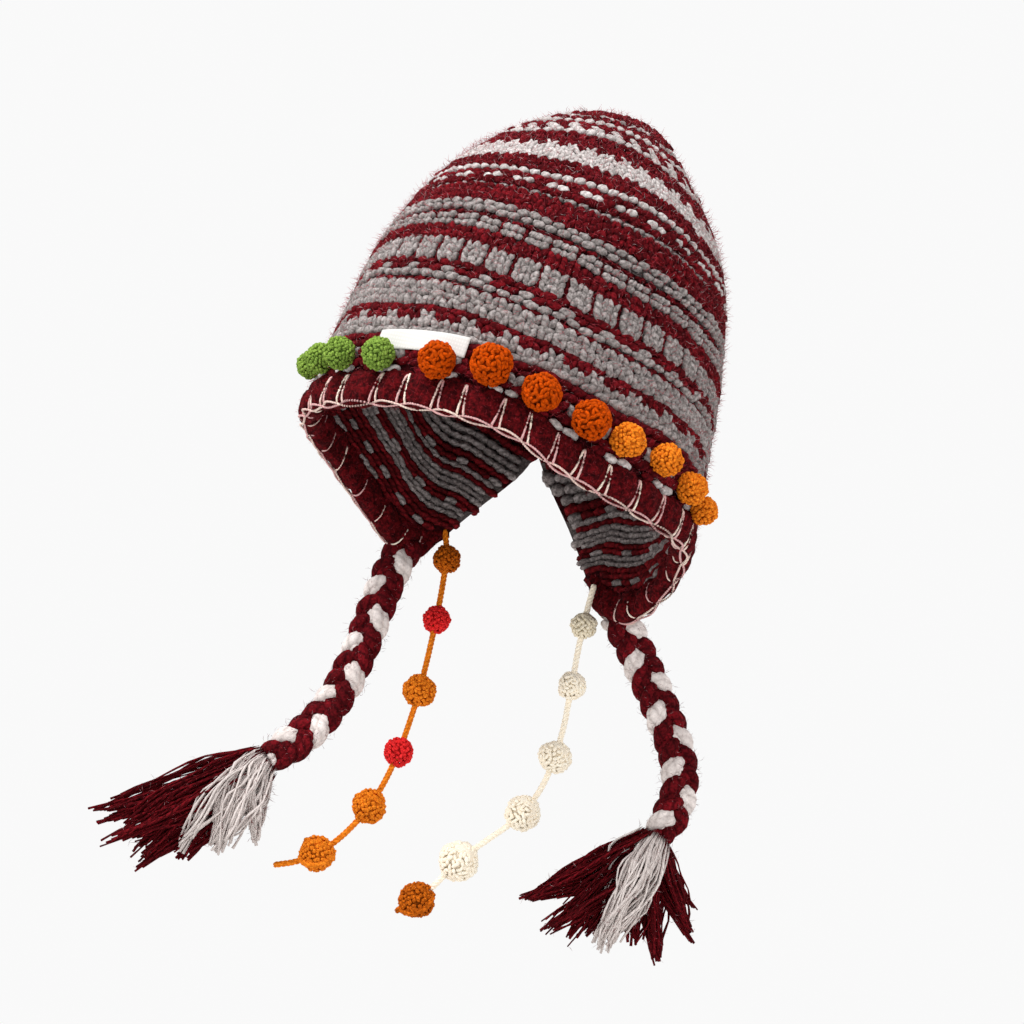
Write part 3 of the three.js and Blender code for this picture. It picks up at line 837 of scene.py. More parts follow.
# %% Lines for the tubes
def yarn_lines(name, lines):
    """A mesh of open chains of edges: each line is (points, radii, twist per metre, second yarn or not)."""
    places, edges, radii, twists, seconds, tones = [], [], [], [], [], []
    for number, (points, thick, turns, is_second) in enumerate(lines):
        done = 0.0
        for k, point in enumerate(points):
            if k:
                edges.append((len(places) - 1, len(places)))
                done += (point - points[k - 1]).length
            places.append(point)
            radii.append(thick[k])
            twists.append(2 * math.pi * turns * done)
            seconds.append(float(is_second))
            tones.append((number * 0.618) % 1)
    mesh = bpy.data.meshes.new(name)
    mesh.from_pydata(places, edges, [])
    for label, values in (("radius", radii), ("twist", twists), ("second", seconds), ("tone", tones)):
        mesh.attributes.new(label, "FLOAT", "POINT").data.foreach_set("value", values)
    return mesh


def spin(name, lines, yarn, second_yarn=None, sides=8, node_names=()):
    values = {"Sides": sides, "Yarn": yarn, "Second Yarn": second_yarn or yarn}
    return grown(name, yarn_lines(name, lines), tube_tree, values, node_names)


def rounded_ends(count, radius, ends=3):
    """A radius for each point of a line that closes to nothing at both ends."""
    radii = []
    for i in range(count):
        t = min(1, min(i, count - 1 - i) / ends)
        radii.append(radius * math.sqrt(max(0, 1 - (1 - t) ** 2)))
    return radii


# %% [markdown]
# ## The braided ties
# Each tie is a flat three-strand braid of bulky yarn, two maroon strands and one off-white. A strand
# swings from side to side while it dips under and over its neighbours at twice that pace, which is all
# that a braid is. Each strand is itself four yarns laid loosely round each other, and the whole braid is
# turned a little to one side. One modelled link could be repeated with an array along a curve, but its
# repeat would show. The ties hang free.

# %% Braids
STRANDS, PALE_STRAND = 3, 2
STRAND_RADIUS = 4.6 * MM
STRAND_SWELL = 0.06
STRAND_TURN = 60 * MM
YARNS_IN_STRAND = 4
YARN_OFFSET_SHARE, YARN_RADIUS_SHARE = 0.46, 0.6
SWING = 5.0 * MM
DIP = 2.4 * MM
ROOT_LENGTH = 7 * MM
NECK_PULL, NECK_POINTS = 0.6, 8


def side_frames(points, turned=0.0):
    """For each point: the way along, a way across the braid's flat face, and a way out of it."""
    frames = []
    for k in range(len(points)):
        along = (points[min(k + 1, len(points) - 1)] - points[max(k - 1, 0)]).normalized()
        out = (away - along * away.dot(along)).normalized()
        across_way = out.cross(along).normalized()
        cos, sin = math.cos(turned), math.sin(turned)
        frames.append((along, across_way * cos + out * sin, out * cos - across_way * sin))
    return frames


def braid_lines(points, start, repeat, turned):
    """Three strands, each of four yarns that turn slowly round each other."""
    frames = side_frames(points, turned)
    lines = []
    for strand in range(STRANDS):
        done, core, radii = 0.0, [], []
        for k, (point, (_, across_way, out)) in enumerate(zip(points, frames)):
            if k:
                done += (point - points[k - 1]).length
            phase = 2 * math.pi * (done / repeat + strand / STRANDS) + start
            pull = min(1, NECK_PULL + (1 - NECK_PULL) * (len(points) - 1 - k) / NECK_POINTS)
            swing = across_way * SWING * pull * math.sin(phase)
            dip = out * DIP * pull * math.sin(2 * phase)
            core.append(point + swing + dip)
            radii.append(STRAND_RADIUS * pull * (1 + STRAND_SWELL * math.sin(2 * phase)))
        ends = rounded_ends(len(points), 1, 3)
        for yarn in range(YARNS_IN_STRAND):
            laid_points, run = [], 0.0
            for k, (place, (_, across_way, out)) in enumerate(zip(core, side_frames(core))):
                if k:
                    run += (place - core[k - 1]).length
                turn = 2 * math.pi * (run / STRAND_TURN + yarn / YARNS_IN_STRAND)
                off_centre = across_way * math.cos(turn) + out * math.sin(turn)
                laid_points.append(place + off_centre * radii[k] * YARN_OFFSET_SHARE)
            thick = [r * e * YARN_RADIUS_SHARE for r, e in zip(radii, ends)]
            lines.append((laid_points, thick, 0, strand == PALE_STRAND))
    return lines


print("yarns in a braid:", STRANDS * YARNS_IN_STRAND)


# %% [markdown]
# ## The tassels
# Below its neck each tie is loose yarn that has matted into locks. Hair curves could make it, but each
# piece has to end as a plain mesh, so every yarn is a thin tube. A lock is a bundle that swells and
# closes again, its yarns are drawn into a few wisps, and the pale ones wave more and lie in front.

# %% Tassels
# The tip of each lock in millimetres, how wide the lock spreads at most, and its yarn.
RIGHT_LOCKS = [
    ((-133, 18, -211), 13, "maroon"),
    ((-125, 14, -221), 14, "maroon"),
    ((-114, 26, -226), 15, "maroon"),
    ((-111, 35, -219), 14, "maroon"),
    ((-94, 23, -220), 13, "both"),
    ((-77, 25, -210), 14, "off_white"),
    ((-66, 34, -196), 11, "off_white"),
    ((-100, 41, -207), 14, "maroon"),
]
LEFT_LOCKS = [
    ((69, 59, -181), 13, "maroon"),
    ((82, 54, -190), 14, "maroon"),
    ((92, 68, -191), 15, "maroon"),
    ((97, 76, -186), 14, "both"),
    ((108, 62, -191), 14, "off_white"),
    ((121, 64, -185), 13, "maroon"),
    ((130, 80, -186), 14, "maroon"),
    ((143, 81, -172), 14, "maroon"),
    ((134, 85, -156), 12, "maroon"),
]
LOCK_SWELL = (0.42, 0.8, 0.78, 0.5)
YARNS_IN_LOCK = {"maroon": 80, "both": 80, "off_white": 118}
YARN_POINTS = 11
WISPS = 6
WISP_SPREAD, STRAY_SPREAD, TIP_GATHER = 0.65, 0.85, 0.72
NECK_LIFT = 8 * MM
ONE_TURN = 6.28
# From least to most: how far a yarn waves in mm, how many waves it has, and its radius in mm.
DARK_YARN = {"wave": (0.6, 1.6), "pace": (1.0, 2.4), "radius": (0.45, 0.75)}
PALE_YARN = {"wave": (1.2, 3.0), "pace": (0.7, 1.7), "radius": (0.6, 0.95)}


def swell_at(t):
    x = t * (len(LOCK_SWELL) - 1)
    i = min(int(x), len(LOCK_SWELL) - 2)
    return LOCK_SWELL[i] + (LOCK_SWELL[i + 1] - LOCK_SWELL[i]) * (x - i)


def tassel_lines(neck, heading, locks, seed):
    """Loose yarns that leave the neck in line with the braid. Each lock's yarns draw into a few wisps."""
    rng = random.Random(seed)
    lines = []
    lane_a = heading.orthogonal().normalized()
    lane_b = heading.cross(lane_a).normalized()

    def spread_out(amount):
        turn, spread = rng.uniform(0, 2 * math.pi), math.sqrt(rng.random()) * amount
        return lane_a * math.cos(turn) * spread + lane_b * math.sin(turn) * spread

    for tip, width, yarn in locks:
        end = Vector(tip) * MM
        bend = neck + heading * (end - neck).length * 0.22 + (end - neck) * 0.2
        wisps = [(spread_out(width * MM * WISP_SPREAD), rng.uniform(0.84, 1.04)) for _ in range(WISPS)]
        for number in range(YARNS_IN_LOCK[yarn]):
            is_pale = yarn == "off_white" or (yarn == "both" and number % WISPS < 2)
            manner = PALE_YARN if is_pale else DARK_YARN
            middle, reach = wisps[number % WISPS]
            reach *= rng.uniform(0.88, 1.04)
            stray = spread_out(width * MM * STRAY_SPREAD)
            wave = rng.uniform(*manner["wave"]) * MM
            phase = rng.uniform(0, ONE_TURN)
            pace = rng.uniform(*manner["pace"])
            lift = away * NECK_LIFT if is_pale else Vector((0, 0, 0))
            points = []
            for k in range(YARN_POINTS):
                t = k / (YARN_POINTS - 1) * reach
                inside = min(t, 1)
                core = neck * (1 - t) ** 2 + bend * 2 * t * (1 - t) + end * t * t
                sway = wave * min(1, 2 * t) * math.sin(phase + pace * ONE_TURN * t)
                swell = swell_at(inside)
                spread = middle * swell + stray * (1 - TIP_GATHER * inside**2) * swell
                raised = lift * math.sin(math.pi * inside)
                points.append(core + spread + lane_a * sway + lane_b * sway * 0.6 + raised)
            radius = rng.uniform(*manner["radius"]) * MM
            radii = [radius * (1 + 0.2 * math.sin(phase + 2 * k)) for k in range(YARN_POINTS)]
            radii[0] = 0
            points.append(points[-1] + (points[-1] - points[-2]) * 0.02)
            lines.append((points, radii + [0], 0, is_pale))
    return lines


print("locks:", len(RIGHT_LOCKS), "right,", len(LEFT_LOCKS), "left")

# %% Lay the ties
TIE_STEP = 1.3 * MM
ROOT_POINTS = 5
NECK_OVERLAP = 3 * MM
GUIDE_POINTS = 24
for side, route, locks, start, repeat, turned, seed in (
    ("right", RIGHT_BRAID_ROUTE, RIGHT_LOCKS, 0.5, 30.5 * MM, 0.4, 11),
    ("left", LEFT_BRAID_ROUTE, LEFT_LOCKS, 0.48, 28.5 * MM, -0.4, 15),
):
    points, length = smooth_route(route, TIE_STEP)
    lead = (points[0] - points[2]).normalized()
    rooted = [points[0] + lead * ROOT_LENGTH * k / ROOT_POINTS for k in range(ROOT_POINTS, 0, -1)] + points
    braid = spin(
        side + "_braid_yarn", braid_lines(rooted, start, repeat, turned), MAROON, OFF_WHITE,
        sides=8, node_names=(side + "_braid",),
    )
    heading = (points[-1] - points[-3]).normalized()
    neck = points[-1] - heading * NECK_OVERLAP
    tassel = spin(
        side + "_tassel_yarn", tassel_lines(neck, heading, locks, seed), MAROON, OFF_WHITE,
        sides=3, node_names=(side + "_tassel",),
    )
    guide = points[:: max(1, len(points) // GUIDE_POINTS)]
    if guide[-1] != points[-1]:
        guide.append(points[-1])
    print(side, "tie:", round(length * 1000), "mm, then its tassel")

# %% [markdown]
# ## The strings of yarn balls
# Thin twisted strings hang beside the ties. Three plies laid round each other read as a real string in
# outline, where a bump on a smooth tube would not. Below the last ball the left string is a second
# colour, and each string's end is drawn once over its last ball.

# %% Twisted strings
STRING_RADIUS = 1.6 * MM
PLY_RADIUS = 0.86 * MM
PLY_TURN = 6.5 * MM
STRING_STEP = 0.8 * MM
WRAP_POINTS = 25
WRAP_LIFT = 1.02


def twisted_lines(points, is_second=False):
    frames = side_frames(points)
    lines = []
    for ply in range(3):
        done, laid_points = 0.0, []
        for k, (point, (_, across_way, out)) in enumerate(zip(points, frames)):
            if k:
                done += (point - points[k - 1]).length
            phase = 2 * math.pi * (done / PLY_TURN + ply / 3)
            off = STRING_RADIUS - PLY_RADIUS
            laid_points.append(point + across_way * off * math.cos(phase) + out * off * math.sin(phase))
        lines.append((laid_points, rounded_ends(len(points), PLY_RADIUS, 2), 0, is_second))
    return lines


def wrap_line(centre, radius, tail):
    """The end of the string drawn over the last ball and back to where it leaves."""
    tail_way = (tail - centre).normalized()
    over = away.cross(tail_way).normalized()
    side_way = (away * 0.75 + over * 0.5).normalized()
    points = []
    for k in range(WRAP_POINTS):
        turn = math.pi * (-0.1 + 1.1 * k / (WRAP_POINTS - 1))
        points.append(centre + (tail_way * math.cos(turn) + side_way * math.sin(turn)) * radius)
    return points


for side, route, yarn, tail_yarn, slot in (
    ("right", RIGHT_STRING_ROUTE, AMBER, AMBER, "amber_yarn"),
    ("left", LEFT_STRING_ROUTE, CREAM, UMBER, "cream_yarn"),
):
    points, length = smooth_route(route, STRING_STEP)
    low, high = (Vector(corner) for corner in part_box(side + "_ball_6"))
    centre, radius = (low + high) / 2, sum(high - low) / 6
    knot = min(range(len(points)), key=lambda k: (points[k] - centre).length)
    lines = twisted_lines(points[: knot + 1]) + twisted_lines(points[knot:], True)
    lines += twisted_lines(wrap_line(centre, radius * WRAP_LIFT, points[-1]), True)
    spin(side + "_string_yarn", lines, yarn, tail_yarn, sides=7, node_names=(side + "_string",))
    print(side, "string:", round(length * 1000), "mm")

# %% [markdown]
# ## The striped knit
# The crown is worked in rows of two stitches. A purl shows as a bead that lies along the row; a knit
# shows as two slanted beads that make a V. The chart below lists the rows from the border to the top,
# with the colours round the hat: m is maroon, g grey, p pale, and a dot is left out. A painted pattern
# with a bump would be quicker, but the stitches stand a millimetre or so proud and shape the outline, so
# each one is made of beads.

# %% The row chart
# Each row: its level up the hat in millimetres, its kind of stitch, and its colours.
STITCHES_ROUND = 80
ROWS = (
    (17.9, "bead", "pp.m"),
    (21.5, "purl", "m"),
    (25.5, "knit", "mg"),
    (29.5, "purl", "m"),
    (33, "purl", "m"),
    (36.2, "purl", "g"),
    (39.8, "knit", "g"),
    (43.2, "knit", "mmg"),
    (46.5, "purl", "m"),
    (50, "knit", "g"),
    (53.4, "purl", "g"),
    (56.8, "knit", "g"),
    (59.6, "dash", "m"),
    (62.4, "bead", "g"),
    (65.6, "purl", "mmg"),
    (69, "purl", "m"),
    (72.4, "block", "g"),
    (76, "block", "g"),
    (79.6, "block", "g"),
    (83.4, "knit", "m"),
    (87.4, "knit", "m"),
    (91.4, "bumps", "g"),
    (95, "bumps", "g"),
    (98.4, "dash", "m"),
    (101.4, "bead", "g"),
    (104.8, "bead", "g"),
    (108.4, "knit", "m"),
    (112, "knit", "m"),
    (115.4, "knit", "m"),
    (118.6, "dash", "g"),
    (121.4, "purl", "m"),
    (124, "bead", "ppm"),
    (127.2, "purl", "m"),
    (130.6, "bead", "p"),
    (134, "purl", "m"),
    (137.6, "knit", "m"),
    (141.4, "knit", "m"),
    (145.4, "knit", "p"),
    (149.2, "knit", "p"),
    (153, "knit", "p"),
    (156.8, "knit", "pm"),
    (160.8, "knit", "m"),
    (164.8, "knit", "m"),
    (168.6, "purl", "m"),
    (172.4, "bead", "p"),
    (175.6, "bead", "pm"),
    (179, "purl", "mp"),
    (182.2, "purl", "m"),
    (185.4, "bead", "p"),
    (189, "purl", "m"),
    (193, "purl", "m"),
    (197, "knit", "gp"),
    (201, "purl", "m"),
    (205, "purl", "m"),
    (209, "purl", "m"),
    (213, "purl", "m"),
    (217, "purl", "m"),
    (221, "purl", "m"),
    (225, "purl", "m"),
)
# Stitches round the hat at a level: they thin out towards the top, where the crown closes.
STITCH_COUNTS = [
    (0, STITCHES_ROUND), (150, STITCHES_ROUND), (172, 58), (190, 42), (205, 28), (218, 14), (227, 8),
]
print("rows:", len(ROWS))

# %% [markdown]
# The rows aren't level. The fabric sags between the yarn balls and the top, and it sinks towards the
# slit. A cloth simulation could find a sag, but not this one, so a short table moves the rows. The
# stitches, the beads inside and the wall's colours all follow it.

# %% The ripple of the rows
# Each row: an azimuth, then how far the rows at these levels are moved up there.
SETTLE_LEVELS = (18, 36, 62, 85, 108, 131, 144, 174, 226)
SETTLE = [
    (-150, 0, 0, 0, 0, 0, 0, 0, 0, 0),
    (-75, 0, 0, 0, 0, -2, -6, -8, -8, 0),
    (-50, 0, 2, 7.5, 4.5, 0.5, -2.5, -5, -8, 0),
    (-30, 0, 1.5, 5.5, 5, 2.5, -0.5, -3, -7, 0),
    (-15, 0, 1, 3, 3, 2, -0.3, -1.5, -3.5, 0),
    (0, 0, 0, 0, 0, 0, 0, 0, 0, 0),
    (13, 0, -1.5, -2, -1, -1.5, 2, 1.5, 2, 0),
    (20, 0, 1, -0.5, -0.5, -0.5, 3, 2.5, 2, 0),
    (30, 0, 5, 3, 2, 2.5, 5.5, 4.5, 1.8, 0),
    (40, 0, 6, 5.5, 3, 3.5, 6, 4, 1, 0),
    (50, 0, 6.5, 6, 3, 3, 5, 2, -1, 0),
    (60, 0, 7, 5.5, 2, 2, 2.5, -1, -5, 0),
    (70, 0, 6, 3.5, 0, 0.5, -1, -6, -8, 0),
    (80, 0, 4, 2.5, -2, -0.5, -4, -8, -8, 0),
    (95, 0, 0, 0, -2, -1, -6, -8, -8, 0),
    (150, 0, 0, 0, 0, 0, 0, 0, 0, 0),
]
WALL_STEP = 3.7

# The flaps are knitted nearly square to their own edges, so the rows sink towards the slit at the nape:
# on both sides, and further on the left, which hangs wider open.
NAPE_DIP, NAPE_REACH, NAPE_FADE = 21, 52, (50, 165)
LEFT_DIP, LEFT_REACH, LEFT_FADE = 20, 70, (50, 92)
DIP_START = -5


def settled(level, azimuth):
    """A row's distance up the hat at an azimuth, with the fabric's ripple."""
    level_from = max(level, SETTLE_LEVELS[0])
    i = max(k for k in range(len(SETTLE_LEVELS) - 1) if SETTLE_LEVELS[k] <= level_from)
    t = min(1, max(0, (level - SETTLE_LEVELS[i]) / (SETTLE_LEVELS[i + 1] - SETTLE_LEVELS[i])))
    low, high = eased(SETTLE, azimuth, i + 1), eased(SETTLE, azimuth, i + 2)
    from_nape = min(azimuth - SLIT[-1][1], SLIT[-1][2] - azimuth)
    dip = NAPE_DIP * (1 - eased_step(from_nape, DIP_START, NAPE_REACH)) * (1 - eased_step(level, *NAPE_FADE))
    from_left = SLIT[-1][2] - azimuth
    dip += LEFT_DIP * (1 - eased_step(from_left, DIP_START, LEFT_REACH)) * (1 - eased_step(level, *LEFT_FADE))
    return level + low * (1 - t) + high * t - dip


print("rows at the brow and the temple:", round(settled(62, 0), 1), round(settled(62, 60), 1))


# %% The ways of the fabric
def fabric_frame(azimuth, level, depth, half=1.0):
    """A place in the knit, its ways along the row, up and out, and metres in a degree of azimuth."""
    spot, _ = on_hat(azimuth, settled(level, azimuth), depth)
    before, _ = on_hat(azimuth - half, settled(level, azimuth - half), depth)
    after, _ = on_hat(azimuth + half, settled(level, azimuth + half), depth)
    below, _ = on_hat(azimuth, settled(level, azimuth) - half, depth)
    above, _ = on_hat(azimuth, settled(level, azimuth) + half, depth)
    ahead, upward_way = (after - before), (above - below)
    if ahead.length < 1e-7 or upward_way.length < 1e-7:
        return spot, Vector((1, 0, 0)), Vector((0, 1, 0)), Vector((0, 0, 1)), 0.0
    per_degree = ahead.length / (2 * half)
    ahead.normalize()
    upward_way.normalize()
    return spot, ahead, upward_way, ahead.cross(upward_way).normalized(), per_degree


print("a degree at the brow is", round(fabric_frame(0, 62, 0)[4] / MM, 2), "mm")

# %% One bead in the knit
stitch_rng = random.Random(5)
beads = {"m": [], "g": [], "p": []}
lining = {"m": [], "g": []}
# How far chance moves a bead: its slant in degrees, its depth, height and place along the row in
# millimetres, and its size as a share.
SLANT_CHANCE, DEPTH_CHANCE, UP_CHANCE, ALONG_CHANCE, SIZE_CHANCE = 11, 0.3, 0.45, 0.35, 0.12


def jitter(amount):
    return stitch_rng.uniform(-amount, amount)


def lay_bead(yarn, spot, ways, stretch, slant, length, width, sink):
    """One bead, slanted up from the row. Where the ripple spreads the rows, it is stretched upwards."""
    ahead, upward_way, out = ways
    slant = math.radians(slant + jitter(SLANT_CHANCE))
    length *= 1 + (stretch - 1) * abs(math.sin(slant))
    width *= 1 + (stretch - 1) * abs(math.cos(slant))
    aim = ahead * math.cos(slant) + upward_way * math.sin(slant)
    sunk = spot - out * (sink + jitter(DEPTH_CHANCE)) * MM
    place = sunk + (upward_way * jitter(UP_CHANCE) + ahead * jitter(ALONG_CHANCE)) * MM
    scale = 1 + jitter(SIZE_CHANCE)
    beads[yarn].append((place, aim, out, length * scale * MM, width * scale * MM, stitch_rng.random()))


print("colours of yarn:", len(beads))

# %% How each kind of stitch lies
# One bead along the row. Slant in degrees, length in stitch widths, thickness and depth in millimetres.
FLAT_STITCHES = {
    "purl": {"slant": 8, "length": 1.2, "thick": 4.2, "sink": 0.9},
    "bead": {"slant": 4, "length": 1.02, "thick": 3.7, "sink": 0.35},
    "dash": {"slant": 6, "length": 0.95, "thick": 2.5, "sink": 1.2},
}
# Two legs that make a V, apart and thick in stitch widths. In a block two stitches are pulled together.
LEG_STITCHES = {
    "knit": {"apart": 0.25, "pull": 0, "slant": 27, "length": 6.4, "thick": 0.56, "sink": 0.7},
    "block": {"apart": 0.21, "pull": 0.1, "slant": 24, "length": 6.0, "thick": 0.5, "sink": 0.3},
}
# Bumps are three short beads over two stitches.
BUMP = {"apart": 0.56, "slant": 10, "length": 0.72, "thick": 3.7, "sink": 0.5}
# Between pairs a maroon bead stands upright: its length in millimetres and its thickness in widths.
GAP_BEADS = {"block": (5.0, 0.34), "bumps": (4.6, 0.32)}
GAP_SINK = 1.4


def lay_stitch(kind, k, yarn, spot, ways, stretch, width):
    """All the beads of one stitch. Blocks and bumps are worked in pairs, which an even stitch starts."""
    ahead = ways[0]
    is_first = k % 2 == 0
    if kind in FLAT_STITCHES:
        how = FLAT_STITCHES[kind]
        lay_bead(yarn, spot, ways, stretch, how["slant"], width * how["length"], how["thick"], how["sink"])
    if kind in LEG_STITCHES:
        how = LEG_STITCHES[kind]
        pull = (how["pull"] if is_first else -how["pull"]) * width
        for side in (-1, 1):
            leg = spot + ahead * (side * how["apart"] * width + pull) * MM
            slant = 90 - side * how["slant"]
            lay_bead(yarn, leg, ways, stretch, slant, how["length"], how["thick"] * width, how["sink"])
    if kind == "bumps" and is_first:
        centre = spot + ahead * 0.5 * width * MM
        for bump in (-1, 0, 1):
            part = centre + ahead * bump * BUMP["apart"] * width * MM
            length = BUMP["length"] * width
            lay_bead(yarn, part, ways, stretch, BUMP["slant"], length, BUMP["thick"], BUMP["sink"])
    if kind in GAP_BEADS and is_first:
        gap = spot - ahead * 0.5 * width * MM
        length, share = GAP_BEADS[kind]
        lay_bead("m", gap, ways, stretch, 90, length, share * width, GAP_SINK)


print("kinds of stitch:", len({kind for _, kind, _ in ROWS}))

# %% [markdown]
# Inside, the hat shows the back of the knit: rows of rounder beads. They are worked out with the
# stitches, one behind each, and turned to face inwards. A copy of the outside would cost as many
# triangles again, so the inside has a plainer bead.

# %% Work out every stitch
EDGE_KEEP = 1.1
EDGE_SLACK = 0.5
NARROWEST = 2.2
LINING_TOP = 176
LINING_DEPTH, LINING_THICK, LINING_CHANCE = 4.3, 4.1, 0.4
LINING_LENGTH = 1.2


def is_in_slit(azimuth, along):
    if along >= SLIT[-1][0]:
        return False
    low, high = slit_azimuths(along)
    return not low + EDGE_KEEP < azimuth < high - EDGE_KEEP


for row, (level, kind, colours) in enumerate(ROWS):
    count = 2 * round(eased(STITCH_COUNTS, level, 1) / 2)
    pitch = 360 / count
    shift = 0.5 if kind in FLAT_STITCHES and row % 2 else 0.0
    for k in range(count):
        azimuth = NAPE_AZIMUTH + (k + shift + 0.5) * pitch
        along = settled(level, azimuth)
        if along < ROWS[0][0] - EDGE_SLACK or is_in_slit(azimuth, along):
            continue
        spot, ahead, upward_way, out, per_degree = fabric_frame(azimuth, level, 0)
        over = settled(level + WALL_STEP / 2, azimuth)
        under = settled(level - WALL_STEP / 2, azimuth)
        stretch = max(1, (over - under) / WALL_STEP)
        width = max(NARROWEST, per_degree * pitch / MM)
        yarn = colours[k % len(colours)]
        if level < LINING_TOP:
            lining_yarn = {"p": "g", ".": "m"}.get(yarn, yarn)
            inner, _ = on_hat(azimuth, along, LINING_DEPTH)
            thick = (LINING_THICK * stretch + jitter(LINING_CHANCE)) * MM
            long = width * LINING_LENGTH * MM
            lining[lining_yarn].append((inner, ahead, -out, long, thick, stitch_rng.random()))
        if yarn != ".":
            lay_stitch(kind, k, yarn, spot, (ahead, upward_way, out), stretch, width)
print("beads outside:", {yarn: len(rows) for yarn, rows in beads.items()})
print("beads inside:", {yarn: len(rows) for yarn, rows in lining.items()})

# %% Lay the stitches
for yarn, label, material in (("m", "maroon", MAROON), ("g", "grey", GREY), ("p", "pale", PALE)):
    cloud = bead_cloud(label + "_stitches", beads[yarn])
    values = {"Bead": STITCH_BEAD, "Unevenness": 1.7 * MM, "Yarn": material}
    grown(label + "_stitches", cloud, bead_tree, values, ("knit_crown",))
for yarn, label, material in (("m", "maroon", MAROON_LINING), ("g", "grey", GREY_LINING)):
    cloud = bead_cloud(label + "_inside", lining[yarn])
    values = {"Bead": LINING_BEAD, "Unevenness": 1.4 * MM, "Yarn": material}
    grown(label + "_inside", cloud, bead_tree, values, ("knit_crown",))

# %% [markdown]
# ## The cloth behind the stitches
# Between stitches the eye looks into the knit, where yarn in shadow shows. One closed wall with its own
# two colours fills that depth, so no light leaks through the hat and its edges at the nape are solid. Its
# two colours are painted shadow, dark copies of the maroon and the grey. A sheet with a Solidify modifier
# would do too. Here both faces are laid by the same rule as the stitches, so they follow the hat, and
# each square takes the painted-shadow colour of the row in front of it.


# %% A piece from points and faces
def finished(name, points, faces, materials, node_names, picks=None):
    mesh = bpy.data.meshes.new(name)
    mesh.from_pydata(points, [], faces)
    for material in materials:
        mesh.materials.append(material)
    for i, polygon in enumerate(mesh.polygons):
        polygon.use_smooth = True
        polygon.material_index = picks[i] if picks else 0
    piece = bpy.data.objects.new(name, mesh)
    bpy.context.scene.collection.objects.link(piece)
    if node_names:
        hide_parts(*node_names)
    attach(piece, "root")
    print(f"{name}: {sum(len(p.vertices) - 2 for p in mesh.polygons)} triangles")
    return piece


# %% The wall of the knit
WALL_COLUMNS = 72
WALL_FOOT = 13
WALL_ROWS = 56
WALL_OUT, WALL_IN = 1.5, 3.9
UNDO_STEPS = 4


def row_at(azimuth, along):
    """The row of the chart that shows at a place, found by undoing the ripple step by step."""
    level = along
    for _ in range(UNDO_STEPS):
        level += along - settled(level, azimuth)
    return min(range(len(ROWS)), key=lambda k: abs(ROWS[k][0] - level))


def wall():
    levels = [WALL_FOOT] + [ROWS[0][0] + WALL_STEP * k for k in range(1, WALL_ROWS)]
    points, faces, picks, rings = [], [], [], {"out": [], "in": []}
    for level in levels:
        is_open = level < SLIT[-1][0]
        right_turn, left_turn = slit_azimuths(level)
        if not is_open:
            right_turn, left_turn = SLIT[-1][1], SLIT[-1][1] + 360
        for face, depth in (("out", WALL_OUT), ("in", WALL_IN)):
            ring_points = []
            for i in range(WALL_COLUMNS + (1 if is_open else 0)):
                azimuth = right_turn + (left_turn - right_turn) * i / WALL_COLUMNS
                ring_points.append(len(points))
                points.append(on_hat(azimuth, level, depth)[0])
            if not is_open:
                ring_points.append(ring_points[0])
            rings[face].append((ring_points, is_open, right_turn, left_turn))
    for j in range(len(levels) - 1):
        (out_a, open_a, right_turn, left_turn), (out_b, _, _, _) = rings["out"][j], rings["out"][j + 1]
        in_a, in_b = rings["in"][j][0], rings["in"][j + 1][0]
        for i in range(WALL_COLUMNS):
            azimuth = right_turn + (left_turn - right_turn) * (i + 0.5) / WALL_COLUMNS
            pick = 0 if "m" in ROWS[row_at(azimuth, levels[j] + WALL_STEP / 2)][2] else 1
            faces.append((out_a[i], out_a[i + 1], out_b[i + 1], out_b[i]))
            faces.append((in_a[i], in_b[i], in_b[i + 1], in_a[i + 1]))
            picks += [pick, pick]
            if j == 0:
                faces.append((out_a[i + 1], out_a[i], in_a[i], in_a[i + 1]))
                picks.append(pick)
        if open_a:
            faces.append((out_a[0], out_b[0], in_b[0], in_a[0]))
            faces.append((out_a[-1], in_a[-1], in_b[-1], out_b[-1]))
            picks += [0, 0]
    for face, depth in (("out", WALL_OUT), ("in", WALL_IN)):
        last = rings[face][-1][0]
        tip = len(points)
        points.append(on_hat(0, PROFILE_TOP, depth)[0])
        for i in range(WALL_COLUMNS):
            faces.append((last[i], last[i + 1], tip) if face == "out" else (last[i + 1], last[i], tip))
            picks.append(0)
    return points, faces, picks


points, faces, picks = wall()
# The wall's two materials are painted shadow, dark maroon and dark grey.
finished("knit_wall", points, faces, (MAROON_PAINTED_SHADOW, GREY_PAINTED_SHADOW), ("knit_crown",), picks)

# %% [markdown]
# ## The border
# The brow and both flaps are edged with a thick felted roll. It is lofted from a soft oval that is
# drawn in wherever a blanket stitch goes over it, and its skin is roughened by two sizes of noise. A
# cloth simulation could draw it in too, but then the stitches would have to be fitted to its result.

# %% Blanket stitch places
FRONT_STITCHES = (-38, -25, -15.5, -5.5, 2, 12, 20.5, 28.5, 36, 45, 56, 66, 78)
STITCH_STEP = 9.5
LAST_STITCH = 144
stitch_turns = list(FRONT_STITCHES)
while stitch_turns[0] - STITCH_STEP > -LAST_STITCH:
    stitch_turns.insert(0, stitch_turns[0] - STITCH_STEP)
while stitch_turns[-1] + STITCH_STEP < LAST_STITCH:
    stitch_turns.append(stitch_turns[-1] + STITCH_STEP)
BORDER_PROUD = 3.5
BORDER_DEEP = 8.0
BORDER_RIGHT, BORDER_LEFT = SLIT[0][1], SLIT[0][2]
END_LEAN_REACH = 14
END_THIN, END_REACH, END_TALL = 3, 2.5, 0.4
# A blanket stitch draws the roll in within a few degrees: less deep by DRAW_IN, less tall by DRAW_DOWN.
DRAW_REACH, DRAW_IN, DRAW_DOWN = 2.5, 0.42, 0.07
SIDE_POWER, TOP_POWER = 0.8, 0.75


def rounded_power(value, power):
    return math.copysign(abs(value) ** power, value)


